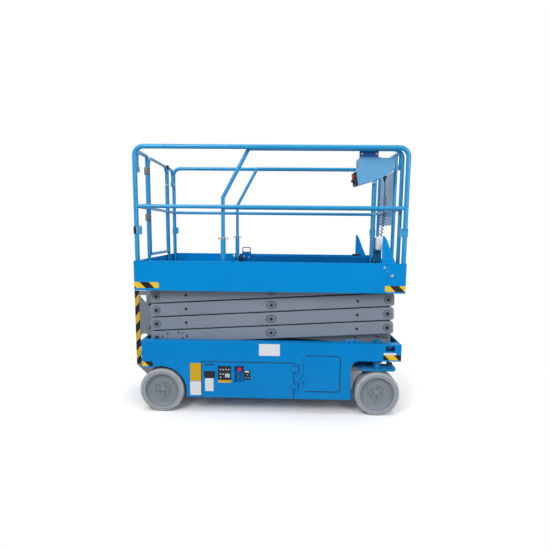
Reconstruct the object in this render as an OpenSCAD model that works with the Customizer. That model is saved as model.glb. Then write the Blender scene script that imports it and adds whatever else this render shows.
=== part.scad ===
// Self-propelled scissor lift: wheeled chassis, four-level scissor stack and railed platform.
// Millimetres. +X is the machine's front, +Y its left side, +Z up; origin on the ground below its middle.

/* [Chassis] */
// Length of the chassis over its end plates
chassis_l = 2207; // [2150:1:2260]
// Width over the chassis side plates
chassis_w = 1150; // [1130:2:1180]
// Height of the chassis underside above the ground
chassis_z = 135; // [120:1:150]
// Height of the chassis from underside to top flange
chassis_h = 492; // [480:1:510]
// Thickness of the side and end plates
plate_t = 8; // [6:0.5:10]
// Width of the top flange along each side
flange_w = 75; // [65:1:80]
// Thickness of the flange, deck and rail flanges
deck_t = 10; // [8:0.5:12]
// Depth of the arm well below the top flange
well_h = 82; // [78:1:90]
// Distance from the chassis front to the front axle
axle_inset = 189; // [185:1:200]
// Distance between the front and rear axles
wheelbase = 1850; // [1820:1:1870]
// Radius of the rear wheel arches
arch_r = 215; // [208:1:225]
// Distance from the front axle back to the edge of the front wheel opening
front_gap = 228; // [222:1:240]
// Depth of the side plates over the front wheels
skirt_front_h = 145; // [140:1:150]
// Corner radius of the front wheel opening
front_arch_r = 70; // [40:1:90]
// Depth of the side plates behind the rear wheels
skirt_rear_h = 237; // [225:1:245]

/* [Trays and doors] */
// Length of the swing-out tray panels
tray_l = 785; // [740:1:800]
// Height of the swing-out tray panels
tray_h = 315; // [300:1:330]
// Depth of the trays behind the side plates
tray_d = 280; // [250:1:290]
// Distance from the front axle back to the front edge of the tray panel
tray_back = 717; // [700:1:725]
// Length of the access doors
access_l = 306; // [280:1:320]
// Height of the access doors
access_h = 309; // [280:1:320]
// Corner radius of the access doors
access_r = 25; // [15:1:40]
// Gap round each door
door_gap = 3; // [2:0.5:4]
// Diameter of the door hinge knuckles
knuckle_d = 20; // [16:1:22]
// Diameter of the door hinge pins
hinge_pin_d = 10; // [8:0.5:12]

/* [Wheels and steering] */
// Diameter of the tyres
tyre_d = 381; // [370:1:390]
// Width of the tyres
tyre_w = 127; // [120:1:130]
// Diameter of the wheel discs
disc_d = 304; // [290:1:312]
// Distance between the middles of the left and right tyres
track = 1028; // [1016:2:1040]
// Diameter of the wheel spindles
spindle_d = 50; // [44:1:56]
// Diameter of the kingpins
kingpin_d = 64; // [58:1:68]
// Distance from a kingpin to its tie rod pin
steer_arm = 110; // [105:1:120]
// Diameter of the tie rod
tie_rod_d = 24; // [20:1:28]

/* [Scissor stack] */
// Distance between an arm's end pivots
arm_l = 1994; // [1980:1:2010]
// Slope of the arms when stowed, in degrees
stow = 3.48; // [3.42:0.01:3.6]
// Height of the arm tubes
arm_h = 112; // [104:1:112]
// Width of the arm tubes
arm_w = 50; // [44:1:50]
// Wall thickness of the arm tubes
arm_wall = 6; // [4:0.5:8]
// Length of the arms past their end pivots
arm_tip = 54; // [44:1:56]
// Distance from the centre plane to the inner arms
inner_y = 380; // [374:1:384]
// Gap between the inner and outer arms
arm_gap = 10; // [8:0.5:10]
// Diameter of the pivot pins
pin_d = 44; // [40:1:48]
// Diameter of the cross tubes
cross_d = 60; // [56:1:68]
// Diameter of the end rollers
roller_d = 70; // [64:1:74]
// Distance from the chassis rear to the fixed pivots
pin_inset = 109; // [105:1:115]
// Height of the fixed pivots above the top flange
pin_rise = 6; // [4:1:10]

/* [Lift cylinder] */
// Outside diameter of the cylinder barrel
barrel_d = 104; // [96:1:108]
// Diameter of the piston rod
cyl_rod_d = 64; // [56:1:68]
// Distance from the lowest inner arm's centre to the barrel pin
cyl_base = 600; // [560:1:640]
// Diameter of the barrel pin
cyl_pin_d = 40; // [36:1:44]

/* [Platform] */
// Length of the platform over its end skins
platform_l = 2260; // [2230:1:2290]
// Width over the platform side skins
platform_w = 1150; // [1130:2:1180]
// Distance from the chassis front to the platform front
platform_lead = 8; // [4:1:12]
// Thickness of the platform skins
skin_t = 6; // [4:0.5:8]
// Thickness of the platform floor
floor_t = 8; // [6:0.5:10]
// Height of the floor's underside above the top pivots
floor_rise = 73; // [70:1:80]
// Height of the toe boards above the floor
toe_h = 110; // [100:1:130]
// Depth of the skins below the floor's underside
skirt_h = 127; // [115:1:130]
// Height of the top rail's centre above the floor
rail_h = 1043; // [1000:1:1090]
// Height of the mid rail's centre above the floor
mid_h = 564; // [520:1:590]
// Diameter of the top rails and corner posts
rail_d = 38; // [34:1:42]
// Diameter of the mid rails
mid_d = 32; // [28:1:34]
// Centre-line radius of the rail bends
bend_r = 76; // [60:1:90]
// Distance from the centre plane to the gate's hinge post
gate_hinge_y = 268; // [255:1:280]
// Distance from the centre plane to the gate's latch post
gate_latch_y = 318; // [305:1:330]

/* [Extension deck] */
// Distance that the deck rolls out
ext_travel = 910; // [800:1:950]
// Length of deck left on the platform when rolled out
ext_overlap = 627; // [560:1:680]
// Width over the extension deck's side boards
ext_w = 1040; // [1020:2:1046]
// Height of the extension's top rail below the platform's
ext_drop = 3; // [3:1:20]

/* [Ladder] */
// Distance from the platform rear to the ladder's rear edge
ladder_overhang = 170; // [160:1:200]
// Distance between the outsides of the ladder stringers
ladder_w = 304; // [290:1:330]
// Length of the ladder stringers
ladder_h = 727; // [700:1:750]
// Height of the ladder strips' lower end above the ground
ladder_z = 264; // [250:1:290]
// Depth of the ladder stringers and steps
ladder_d = 43; // [40:1:50]
// Number of ladder steps
steps = 4; // [3:1:5]

/* [Hidden] */
$fn = 48;

// Clearances: running pins, seated faces, and the overrun of every cut
fit = 0.05;
seat = 0.3;
over = 2;

// Places along the machine
overall_l = platform_l + ladder_overhang;
platform_front = overall_l / 2;
platform_back = platform_front - platform_l;
ladder_back = -overall_l / 2;
chassis_front = platform_front - platform_lead;
chassis_back = chassis_front - chassis_l;
front_axle = chassis_front - axle_inset;
rear_axle_x = front_axle - wheelbase;
pin_back = chassis_back + pin_inset;
pin_front = pin_back + arm_l * cos(stow);
pin_mid = (pin_back + pin_front) / 2;
lift = 60;
roller_back = pin_back + arm_l * cos(stow + lift);

// Heights
axle_z = tyre_d / 2;
chassis_top = chassis_z + chassis_h;
deck_z = chassis_top - well_h;
skirt_front_z = chassis_top - skirt_front_h;
skirt_rear_z = chassis_top - skirt_rear_h;
pitch = arm_l * sin(stow);
levels = 4;
first_pin_z = chassis_top + pin_rise;
top_pin_z = first_pin_z + levels * pitch;
floor_under = top_pin_z + floor_rise;
floor_z = floor_under + floor_t;
skirt_z = floor_under - skirt_h;
toe_z = floor_z + toe_h;
rail_z = floor_z + rail_h;
mid_z = floor_z + mid_h;

// Places across the machine
side_y = chassis_w / 2 - plate_t;
lip_y = chassis_w / 2 - flange_w;
wheel_y = track / 2;
outer_y = inner_y + arm_w + arm_gap;
skin_y = platform_w / 2 - skin_t;
rail_y = skin_y - rail_d / 2 - door_gap;
chassis_rail_off = 29;
chassis_rail_y = side_y - tray_d - chassis_rail_off;
chassis_rail_w = 64;

// Chassis details
lip_t = 8;
sleeve_d = 90;
sleeve_drop = 24;
sleeve_z = skirt_front_z - sleeve_drop;
beam_back = 150;
beam_front = 60;
beam_box_w = 620;
beam_box_drop = 118;
beam_box_front = 30;
cap_d = 74;
cap_h = 26;
cap_rim = 3;
tie_down_d = 32;
tie_down_in = 147;
tie_down_y = side_y - tie_down_in;
tie_down_front_up = 26;
tie_down_front_z = skirt_front_z + tie_down_front_up;
tie_down_rear_up = 110;
tie_down_rear_z = skirt_rear_z + tie_down_rear_up;
rear_tongue_w = 560;
rear_tongue_z = 150;
sill_l = 18;
sill_w = 40;
sill_h = 70;
sill_in = 15;
ear_t = 20;
ear_off = 15;
ear_y = outer_y - ear_t - ear_off;
ear_r = 40;
roller_w = 56;
roller_off = 8;
roller_y = inner_y - roller_w - roller_off;
runner_w = 64;
runner_y = roller_y - (runner_w - roller_w) / 2;
recess_l = 78;
recess_h = 50;
recess_back = 53;
recess_d = 40;
recess_t = 3;
saddle_back = 279;
saddle_l = 108;
saddle_w = 34;
saddle_in = 20;
saddle_t = 6;
saddle_ear_l = 24;
saddle_ear_h = 28;

// Axle stubs
stub_h = 80;
hub_flange_d = 140;
hub_flange_t = 15;
stub_off = 10.5;
stub_y = wheel_y - tyre_w / 2 - hub_flange_t - stub_off;
spindle_past = 2;
spindle_end = wheel_y + spindle_past;

// Trays
tray_front = front_axle - tray_back;
tray_rear = tray_front - tray_l;
tray_hinge_off = 30;
tray_hinge_x = tray_front + tray_hinge_off;
tray_bulk_gap = 14;
tray_floor_t = 8;
tray_floor_rise = 6;
tray_sweep_gap = 12;
knuckle_l = 34;
knuckle_share = [0.36, 0.84];
strap_l = 46;
tray_pad = 14;
stop_in = 278;
stop_up = 135;
stop_l = 84;
stop_h = 149;
stop_d = 40;
stop_t = 3;
stop_x = tray_rear + stop_in;
stop_z = chassis_z + stop_up;

// Access doors
access_off = 631;
access_up = 72;
access_back = front_axle - access_off;
access_z = chassis_z + access_up;
access_hinge_off = 14;
access_knuckle_share = [0.36];

// Masses on the trays
battery_l = 178;
battery_w = 240;
battery_h = 250;
battery_gap = 6;
battery_n = 4;
tank_in = 54;
tank_l = 360;
tank_w = 200;
tank_h = 260;
pump_d = 150;
pump_l = 260;

// Yokes
yoke_front = 160;
yoke_back = 146;
yoke_chamfer = 28;
yoke_plate_t = 22;
yoke_lift = 7;
yoke_off = 25.5;
yoke_in = wheel_y - tyre_w / 2 - yoke_off;
yoke_reach = 46;
yoke_out = wheel_y + yoke_reach;
yoke_leg_t = 12;
yoke_leg_w = 150;
yoke_leg_drop = 75;
motor_d = 140;
motor_l = 80;
motor_in = yoke_in - motor_l;
steer_pin_d = 24;
steer_arm_t = 14;
steer_arm_w = 44;
tie_eye_d = 48;
tie_eye_more = 2;
tie_eye_t = tie_rod_d + tie_eye_more;

// Wheels
tyre_round = 14;
sidewall_step = 4;
sidewall_band = 8;
disc_dish = 30;
disc_t = 10;
dish_r = 24;
hub_d = 110;
hub_l = 58;
nut_hole_d = 14;
nut_hole_n = 5;
nut_pcd = 84;

// Scissor stack details
arm_full = arm_l + 2 * arm_tip;
arm_end_r = 25;
arm_corner_r = 9;
bush_d = 70;
collar_d = 62;
head_d = 60;
head_t = 5;
pin_back_off = 4;
inspect_d = 16;
inspect_share = 0.352;

// Lift cylinder details
cyl_ear_t = 16;
cyl_ear_r = 42;
cyl_eye_w = 60;
cyl_eye_d = 92;
cyl_eye_gap = 5;
cyl_neck_d = 58;
cyl_wall = 12;
cyl_bore = barrel_d - 2 * cyl_wall;
gland_l = 60;
gland_d = 112;
rod_neck = 110;
rod_inside = 960;
piston_l = 60;

// Platform details
ear_drop = 40;
platform_ear_t = 12;
platform_ear_off = 6;
platform_ear_y = inner_y + arm_w + platform_ear_off;
platform_ear_l = 100;
track_h = floor_rise - roller_d / 2 - seat;
hem_d = 11;
bracket_w = 58;
bracket_h = 70;
bracket_up = 332;
wing_drop = 28;
wing_d = 32;
wing_in = 46;
wing_r = 64;
wing_leg = 150;
wing_tab_t = 36;
wing_tab_h = 44;
gate_d = 28;
gate_low = 150;
gate_ring_d = 46;
gate_ring_h = 40;
gate_ring_share = [0.395, 0.91];
gate_inset = 36;
gusset_l = 113;
gusset_h = 227;
gusset_back = 205;
gusset_share = [[0, 1], [0.15, 1], [0.36, 0.82], [0.65, 0.43], [1, 0.05]];

// Extension details
ext_l = ext_travel + ext_overlap;
ext_front = platform_front - skin_t;
ext_back = ext_front - ext_l;
ext_t = 8;
ext_toe_h = 96;
ext_floor_z = floor_z + seat;
ext_rail_z = rail_z - ext_drop;
ext_mid_z = mid_z - ext_drop;
ext_post_in = 20;
ext_post_off = 50;
ext_post_front = platform_front - ext_post_off;
ext_kink_h = 644;
ext_kink_run = 215;
socket_d = 44;
socket_h = 290;
ext_y = ext_w / 2 - skin_t - socket_d / 2 - seat;
panel_y0 = -309;
panel_in = 267.7;
panel_y1 = ext_y - panel_in;
panel_t = 5;
panel_low = 432;
panel_high = 900;
front_drop = 6;
front_leg = 130;

// Control box details
box_off = 418;
box_back = platform_front - box_off;
box_l = 316;
box_w = 140;
box_y = 470;
box_plate_t = 8;
box_top = 63;
box_h = 222;
box_hook_in = 21;
box_hook_l = 155;
box_outline_share = [
    [0.07, 0.34], [0, 0.5], [0.06, 1], [0.665, 0.72], [0.9, 0.54], [1, 0.4], [1, 0], [0.07, 0]
];
hook_t = 5;
gland_out_d = 30;
gland_in = 253;
gland_drop = 150;
outlet_w = 60;
outlet_h = 70;
outlet_back = 230;
outlet_in = 80;
outlet_up = 20;

// Curly cord: outer diameter, and a bowed line from the box's gland to the deck's outlet
cord_d = 26;
cord_sides = 10;
cord_steps = 10;
cord_bow = [33, 8, 0];
cord_start = [box_back + gland_in, box_w / 2 - box_y, ext_rail_z - box_top - gland_drop];
cord_end = [platform_front - outlet_back, outlet_in - ext_w / 2, ext_floor_z + ext_toe_h + outlet_up];
cord_points = [
    for (i = [0 : cord_steps])
        let (s = i / cord_steps)
        cord_start + s * (cord_end - cord_start) + sin(180 * s) * cord_bow
];

// Ladder details
stringer_t = 8;
ladder_bulge = 122;
bulge_share = [0.387, 0.561, 0.754, 0.937, 0.945];
foot_run = 110;
foot_drop = 108;
foot_h = 60;
foot_up = 36;
step_t = 30;
bracket_z_share = [0.13, 0.42];
ladder_bracket_h = 40;

// A box between two corners
module block(low, high) {
    translate(low)
        cube(high - low);
}

// Round bars along each axis
module bar_x(x0, x1, y, z, d) {
    translate([x0, y, z])
        rotate([0, 90, 0])
            cylinder(d = d, h = x1 - x0);
}

module bar_y(y0, y1, x, z, d) {
    translate([x, y0, z])
        rotate([-90, 0, 0])
            cylinder(d = d, h = y1 - y0);
}

module bar_z(z0, z1, x, y, d) {
    translate([x, y, z0])
        cylinder(d = d, h = z1 - z0);
}

// Both sides of the machine from the right-hand one, which lies at negative Y
module both_sides() {
    children();
    mirror([0, 1, 0])
        children();
}

// The left-hand copy of a right-hand piece
module left() {
    mirror([0, 1, 0])
        children();
}

// A rectangle with round corners, its lower corner at the origin
module round_rect(w, h, r) {
    translate([r, 0])
        square([w - 2 * r, h]);
    translate([0, r])
        square([w, h - 2 * r]);
    for (x = [r, w - r], y = [r, h - r])
        translate([x, y])
            circle(r = r);
}

// A flat plate: its outline drawn in X and Z, its thickness running inward from the right-hand face y
module side_plate(y, t) {
    translate([0, y, 0])
        rotate([90, 0, 0])
            translate([0, 0, -t])
                linear_extrude(t)
                    children();
}

// An inverted U of round tube in the XZ plane, its posts at x = 0 and x = l
module hoop(l, h, d, r) {
    cylinder(d = d, h = h - r);
    translate([l, 0, 0])
        cylinder(d = d, h = h - r);
    bar_x(r, l - r, 0, h, d);
    translate([l - r, 0, h - r])
        quarter_bend(r, d);
    translate([r, 0, h - r])
        mirror([1, 0, 0])
            quarter_bend(r, d);
}

// A quarter bend of round tube from +X up to +Z
module quarter_bend(r, d) {
    rotate([90, 0, 0])
        rotate_extrude(angle = 90)
            translate([r, 0])
                circle(d = d);
}

// A round tube between two points of the XZ plane y
module slant_xz(x0, z0, x1, z1, y, d) {
    translate([x0, y, z0])
        rotate([0, atan2(x1 - x0, z1 - z0), 0])
            cylinder(d = d, h = norm([x1 - x0, z1 - z0]));
}

// Outline of a chassis side plate, with its wheel openings and doors
module chassis_side_outline() {
    front_edge = front_axle - front_gap;
    difference() {
        translate([chassis_back, chassis_z])
            square([chassis_l, chassis_h]);
        translate([rear_axle_x, axle_z])
            circle(r = arch_r);
        translate([rear_axle_x, chassis_z - over])
            square([arch_r, axle_z - chassis_z + over]);
        translate([chassis_back - over, chassis_z - over])
            square([rear_axle_x - chassis_back + over, skirt_rear_z - chassis_z + over]);
        translate([front_edge, chassis_z - over])
            square([chassis_l, skirt_front_z - front_arch_r - chassis_z + over]);
        translate([front_edge + front_arch_r, chassis_z])
            square([chassis_l, skirt_front_z - chassis_z]);
        translate([front_edge + front_arch_r, skirt_front_z - front_arch_r])
            circle(r = front_arch_r);
        translate([tray_rear - door_gap, chassis_z - over])
            square([tray_l + 2 * door_gap, tray_h + door_gap + over]);
        translate([access_back - door_gap, access_z - door_gap])
            round_rect(access_l + 2 * door_gap, access_h + 2 * door_gap, access_r + door_gap);
        translate([recess_x, recess_z])
            square([recess_l, recess_h]);
    }
}

// A hinge half on the chassis: two knuckles and the pin between them, on the axis at x
module hinge_post(x, z) {
    for (end = [-1, 1])
        translate([x, -chassis_w / 2, z + end * (knuckle_l / 2 + seat) + (end - 1) / 2 * knuckle_l / 2])
            cylinder(d = knuckle_d, h = knuckle_l / 2);
    bar_z(z - knuckle_l, z + knuckle_l, x, -chassis_w / 2, hinge_pin_d);
}

// Room in the side plate for the door's knuckle and the strap that reaches it
module hinge_room(x, z, reach) {
    half = knuckle_l / 2 + seat;
    bar_z(z - half, z + half, x, -chassis_w / 2, knuckle_d + 2 * door_gap);
    block([min(x, x + reach), -chassis_w / 2 - over, z - half], [max(x, x + reach), over - side_y, z + half]);
}

// A hinge half on a door: one bored knuckle and the strap that joins it to the panel edge
module hinge_leaf(x, z, reach) {
    difference() {
        union() {
            bar_z(z - knuckle_l / 2, z + knuckle_l / 2, x, -chassis_w / 2, knuckle_d);
            block([min(x, x + reach), -chassis_w / 2 - knuckle_d / 2, z - knuckle_l / 2],
                  [max(x, x + reach), -chassis_w / 2, z + knuckle_l / 2]);
        }
        bar_z(z - knuckle_l, z + knuckle_l, x, -chassis_w / 2, hinge_pin_d + 2 * fit);
    }
}

tray_hinge_z = [for (s = knuckle_share) chassis_z + s * tray_h];
access_hinge_x = access_back - access_hinge_off;
access_hinge_z = [for (s = access_knuckle_share) access_z + s * access_h];

// A pocket behind an opening of the side plate, from x and z by l and h, with depth d and wall t
module pocket(x, z, l, h, d, t, top) {
    difference() {
        block([x - t, -side_y - plate_t / 2, z - t], [x + l + t, d - side_y, z + h + top]);
        block([x, -chassis_w / 2 - over, z], [x + l, d - t - side_y, z + h]);
    }
}

recess_x = chassis_front - recess_back - recess_l;
recess_z = chassis_top - recess_h - deck_t - door_gap;

module chassis_sides() {
    color("#0086d0")
        both_sides()
            union() {
                pocket(recess_x, recess_z, recess_l, recess_h, recess_d, recess_t, door_gap - seat);
                difference() {
                    side_plate(-chassis_w / 2, plate_t)
                        chassis_side_outline();
                    for (z = tray_hinge_z)
                        hinge_room(tray_hinge_x, z, -tray_hinge_off);
                    for (z = access_hinge_z)
                        hinge_room(access_hinge_x, z, access_hinge_off);
                }
                for (z = tray_hinge_z)
                    hinge_post(tray_hinge_x, z);
                for (z = access_hinge_z)
                    hinge_post(access_hinge_x, z);
            }
}

module chassis_flanges() {
    color("#0086d0")
        both_sides()
            difference() {
                union() {
                    saddle();
                    block([chassis_back + plate_t, -side_y, chassis_top - deck_t],
                          [chassis_front - plate_t, -lip_y, chassis_top]);
                    block([chassis_back + plate_t, -lip_y - lip_t, deck_z - deck_t],
                          [chassis_front - plate_t, -lip_y, chassis_top]);
                }
                bar_z(deck_z - deck_t - over, chassis_top + over, front_axle, -wheel_y, sleeve_d + 2 * seat);
            }
}

// A saddle for the stack on the top flange: a strip with an upright ear at each end
module saddle() {
    x0 = front_axle - saddle_back;
    x1 = x0 + saddle_l;
    y0 = saddle_in - chassis_w / 2;
    block([x0, y0, chassis_top - over], [x1, y0 + saddle_w, chassis_top + saddle_t]);
    for (x = [x0, x1 - saddle_ear_l])
        block([x, y0, chassis_top - over], [x + saddle_ear_l, y0 + saddle_w, chassis_top + saddle_ear_h]);
}

module chassis_rails() {
    rail_back = chassis_back + plate_t;
    rail_front = front_axle - front_gap;
    color("#0075b8")
        both_sides() {
            block([rail_back, -chassis_rail_y, chassis_z],
                  [rail_front, deck_t - chassis_rail_y, deck_z - deck_t]);
            for (z = [chassis_z, deck_z - 2 * deck_t])
                block([rail_back, -chassis_rail_y, z],
                      [rail_front, chassis_rail_w - chassis_rail_y, z + deck_t]);
        }
}

bulkhead_x = [tray_rear - 2 * tray_bulk_gap, tray_hinge_x + tray_bulk_gap, front_axle - front_gap - plate_t];

// Cross plates between the side plates and the rails, with a sill end on the foremost
module chassis_bulkheads() {
    sill_y = sill_in - side_y;
    color("#0075b8")
        both_sides() {
            for (x = bulkhead_x)
                block([x, -side_y, chassis_z], [x + plate_t, -chassis_rail_y, deck_z - deck_t]);
            block([bulkhead_x[2], sill_y, chassis_z],
                  [bulkhead_x[2] + plate_t + sill_l, sill_y + sill_w, chassis_z + sill_h]);
        }
}

module chassis_deck() {
    runner_top = first_pin_z - roller_d / 2 - seat;
    color("#0075b8")
        difference() {
            union() {
                block([chassis_back + plate_t, -lip_y, deck_z - deck_t],
                      [chassis_front - plate_t, lip_y, deck_z]);
                both_sides() {
                    block([roller_back - ear_r, -runner_y - runner_w, deck_z],
                          [pin_front + ear_r, -runner_y, runner_top]);
                    difference() {
                        union() {
                            block([pin_back - ear_r, -ear_y - ear_t, deck_z],
                                  [pin_back + ear_r, -ear_y, first_pin_z]);
                            bar_y(-ear_y - ear_t, -ear_y, pin_back, first_pin_z, 2 * ear_r);
                        }
                        bar_y(-ear_y - ear_t - over, over - ear_y, pin_back, first_pin_z, pin_d + 2 * fit);
                    }
                }
            }
            both_sides()
                bar_z(deck_z - deck_t - over, deck_z + over, front_axle, -wheel_y, sleeve_d + 2 * seat);
        }
}

module chassis_ends() {
    color("#0086d0") {
        difference() {
            block([chassis_front - plate_t, -side_y, skirt_front_z], [chassis_front, side_y, chassis_top]);
            both_sides()
                bar_x(chassis_front - plate_t - over, chassis_front + over,
                      -tie_down_y, tie_down_front_z, tie_down_d);
        }
        difference() {
            union() {
                block([chassis_back, -side_y, skirt_rear_z], [chassis_back + plate_t, side_y, chassis_top]);
                block([chassis_back, -rear_tongue_w / 2, rear_tongue_z],
                      [chassis_back + plate_t, rear_tongue_w / 2, chassis_top]);
            }
            both_sides()
                bar_x(chassis_back - over, chassis_back + plate_t + over,
                      -tie_down_y, tie_down_rear_z, tie_down_d);
        }
    }
}

// Kingpin sleeves under their domed caps, and the beam that carries them below the deck
module kingpin_beam() {
    color("#0075b8")
        difference() {
            union() {
                block([front_axle - beam_back, -wheel_y, sleeve_z],
                      [front_axle + beam_front, wheel_y, deck_z - deck_t]);
                block([front_axle - beam_back, -beam_box_w / 2, sleeve_z - beam_box_drop],
                      [front_axle + beam_box_front, beam_box_w / 2, sleeve_z + over]);
                both_sides() {
                    bar_z(sleeve_z, chassis_top, front_axle, -wheel_y, sleeve_d);
                    translate([front_axle, -wheel_y, chassis_top])
                        kingpin_cap();
                }
            }
            both_sides()
                bar_z(sleeve_z - over, chassis_top - deck_t, front_axle, -wheel_y, kingpin_d + 2 * fit);
        }
}

// Domed cap on a kingpin sleeve
module kingpin_cap() {
    dome_r = (cap_d * cap_d / 4 + cap_h * cap_h) / (2 * cap_h);
    intersection() {
        translate([0, 0, cap_h + cap_rim - dome_r])
            sphere(r = dome_r);
        translate([0, 0, -over])
            cylinder(d = cap_d, h = cap_h + 2 * over + cap_rim);
    }
}

module rear_axle() {
    color("#0075b8")
        both_sides() {
            block([rear_axle_x - stub_h / 2, -stub_y, axle_z - stub_h / 2],
                  [rear_axle_x + stub_h / 2, -chassis_rail_y, axle_z + stub_h / 2]);
            bar_y(-stub_y - hub_flange_t, -stub_y, rear_axle_x, axle_z, hub_flange_d);
            bar_y(-spindle_end, -stub_y, rear_axle_x, axle_z, spindle_d);
        }
}

// One ladder stringer: a foot slanting in to the chassis, a wider middle and a top turned forward
module stringer_outline() {
    strip = ladder_back + ladder_d;
    bulge = strip + ladder_bulge;
    foot_z = ladder_z - foot_drop;
    polygon([
        [ladder_back, ladder_z],
        [ladder_back + foot_run, foot_z],
        [chassis_back, foot_z],
        [chassis_back, foot_z + foot_h],
        [strip, ladder_z + foot_up],
        [strip, ladder_z + bulge_share[0] * ladder_h],
        [bulge, ladder_z + bulge_share[1] * ladder_h],
        [bulge, ladder_z + bulge_share[2] * ladder_h],
        [strip, ladder_z + bulge_share[3] * ladder_h],
        [bulge, ladder_z + bulge_share[4] * ladder_h],
        [bulge, ladder_z + ladder_h],
        [ladder_back, ladder_z + ladder_h]
    ]);
}

module ladder() {
    step_rise = (ladder_h - step_t) / steps;
    step_y = ladder_w / 2 - stringer_t + over;
    color("#8a929b") {
        both_sides() {
            side_plate(-ladder_w / 2, stringer_t)
                stringer_outline();
            for (s = bracket_z_share)
                translate([ladder_back + ladder_d - over, -ladder_w / 2, ladder_z + s * ladder_h])
                    cube([chassis_back - ladder_back - ladder_d + over, stringer_t, ladder_bracket_h]);
        }
        for (i = [0 : steps - 1])
            block([ladder_back, -step_y, ladder_z + i * step_rise],
                  [ladder_back + ladder_d, step_y, ladder_z + i * step_rise + step_t]);
    }
}

// Swing-out tray: outer panel, hinge leaves and a floor cut to swing past the side plate
module tray() {
    sweep_r = tray_hinge_x - tray_rear - tray_sweep_gap;
    side_plate(-chassis_w / 2, plate_t)
        translate([tray_rear, chassis_z])
            square([tray_l, tray_h]);
    for (z = tray_hinge_z)
        hinge_leaf(tray_hinge_x, z, -strap_l);
    intersection() {
        block([tray_rear + tray_pad, -side_y, chassis_z + tray_floor_rise],
              [tray_front - tray_pad, tray_d - side_y, chassis_z + tray_floor_rise + tray_floor_t]);
        bar_z(chassis_z, chassis_z + tray_h, tray_hinge_x, -chassis_w / 2, 2 * sweep_r);
    }
}

// The right-hand tray has a pocket for the ground controls' stop button and key switch
module tray_right() {
    color("#0086d0") {
        difference() {
            tray();
            block([stop_x, -chassis_w / 2 - over, stop_z], [stop_x + stop_l, over - side_y, stop_z + stop_h]);
        }
        pocket(stop_x, stop_z, stop_l, stop_h, stop_d, stop_t, stop_t);
    }
}

module tray_left() {
    color("#0086d0")
        left()
            tray();
}

tray_top = chassis_z + tray_floor_rise + tray_floor_t;
load_in = 72;
load_back = tray_rear + load_in;

// Hydraulic tank beside the pump motor
module power_unit() {
    pump_back = load_back + tank_l + tray_pad;
    color("#4a5058") {
        translate([load_back, tank_in - side_y, tray_top])
            cube([tank_l, tank_w, tank_h]);
        bar_x(pump_back, pump_back + pump_l, tank_in + tank_w / 2 - side_y, tray_top + pump_d / 2, pump_d);
    }
}

module batteries() {
    first = load_back - battery_gap;
    color("#4a5058")
        left()
            for (i = [0 : battery_n - 1])
                translate([first + i * (battery_l + battery_gap), tray_pad - side_y, tray_top])
                    cube([battery_l - battery_gap, battery_w, battery_h]);
}

module access_door() {
    side_plate(-chassis_w / 2, plate_t)
        translate([access_back, access_z])
            round_rect(access_l, access_h, access_r);
    for (z = access_hinge_z)
        hinge_leaf(access_hinge_x, z, strap_l);
}

module access_door_right() {
    color("#0086d0")
        access_door();
}

module access_door_left() {
    color("#0086d0")
        left()
            access_door();
}

yoke_top = tyre_d + yoke_lift + yoke_plate_t;

// Front wheel yoke: plate over the tyre, inner leg with the drive motor, kingpin and steering arm
module yoke() {
    nose = front_axle + yoke_front;
    translate([0, 0, tyre_d + yoke_lift])
        linear_extrude(yoke_plate_t)
            polygon([
                [front_axle - yoke_back, -yoke_out], [nose - yoke_chamfer, -yoke_out],
                [nose, yoke_chamfer - yoke_out], [nose, -yoke_chamfer - yoke_in],
                [nose - yoke_chamfer, -yoke_in], [front_axle - yoke_back, -yoke_in]
            ]);
    block([front_axle - yoke_leg_w / 2, -yoke_in - yoke_leg_t, axle_z - yoke_leg_drop],
          [front_axle + yoke_leg_w / 2, -yoke_in, yoke_top]);
    bar_y(-yoke_in, -motor_in, front_axle, axle_z, motor_d);
    bar_y(-spindle_end, -yoke_in, front_axle, axle_z, spindle_d);
    bar_z(yoke_top, chassis_top - deck_t - seat, front_axle, -wheel_y, kingpin_d);
    block([front_axle, -wheel_y - steer_arm_w / 2, yoke_top],
          [front_axle + steer_arm, steer_arm_w / 2 - wheel_y, yoke_top + steer_arm_t]);
    bar_z(yoke_top, yoke_top + steer_arm_t, front_axle + steer_arm, -wheel_y, steer_arm_w);
    bar_z(yoke_top, yoke_top + steer_arm_t + tie_eye_t + seat, front_axle + steer_arm, -wheel_y, steer_pin_d);
}

module yoke_right() {
    color("#0075b8")
        yoke();
}

module yoke_left() {
    color("#0075b8")
        left()
            yoke();
}

module tie_rod() {
    eye_z = yoke_top + steer_arm_t + seat;
    x = front_axle + steer_arm;
    color("#3a3f45")
        difference() {
            union() {
                bar_y(-wheel_y, wheel_y, x, eye_z + tie_eye_t / 2, tie_rod_d);
                both_sides()
                    bar_z(eye_z, eye_z + tie_eye_t, x, -wheel_y, tie_eye_d);
            }
            both_sides()
                bar_z(eye_z - over, eye_z + tie_eye_t + over, x, -wheel_y, steer_pin_d + 2 * fit);
        }
}

// Half section of a solid tyre with round shoulders and a stepped sidewall band
module tyre_outline() {
    r = tyre_d / 2;
    ri = disc_d / 2;
    h = tyre_w / 2;
    difference() {
        translate([ri, -h])
            union() {
                square([r - ri - tyre_round, tyre_w]);
                translate([0, tyre_round])
                    square([r - ri, tyre_w - 2 * tyre_round]);
                for (z = [tyre_round, tyre_w - tyre_round])
                    translate([r - ri - tyre_round, z])
                        circle(r = tyre_round);
            }
        for (z = [-h - over, h - sidewall_step])
            translate([ri - over, z])
                square([sidewall_band + over, sidewall_step + over]);
    }
}

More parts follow.
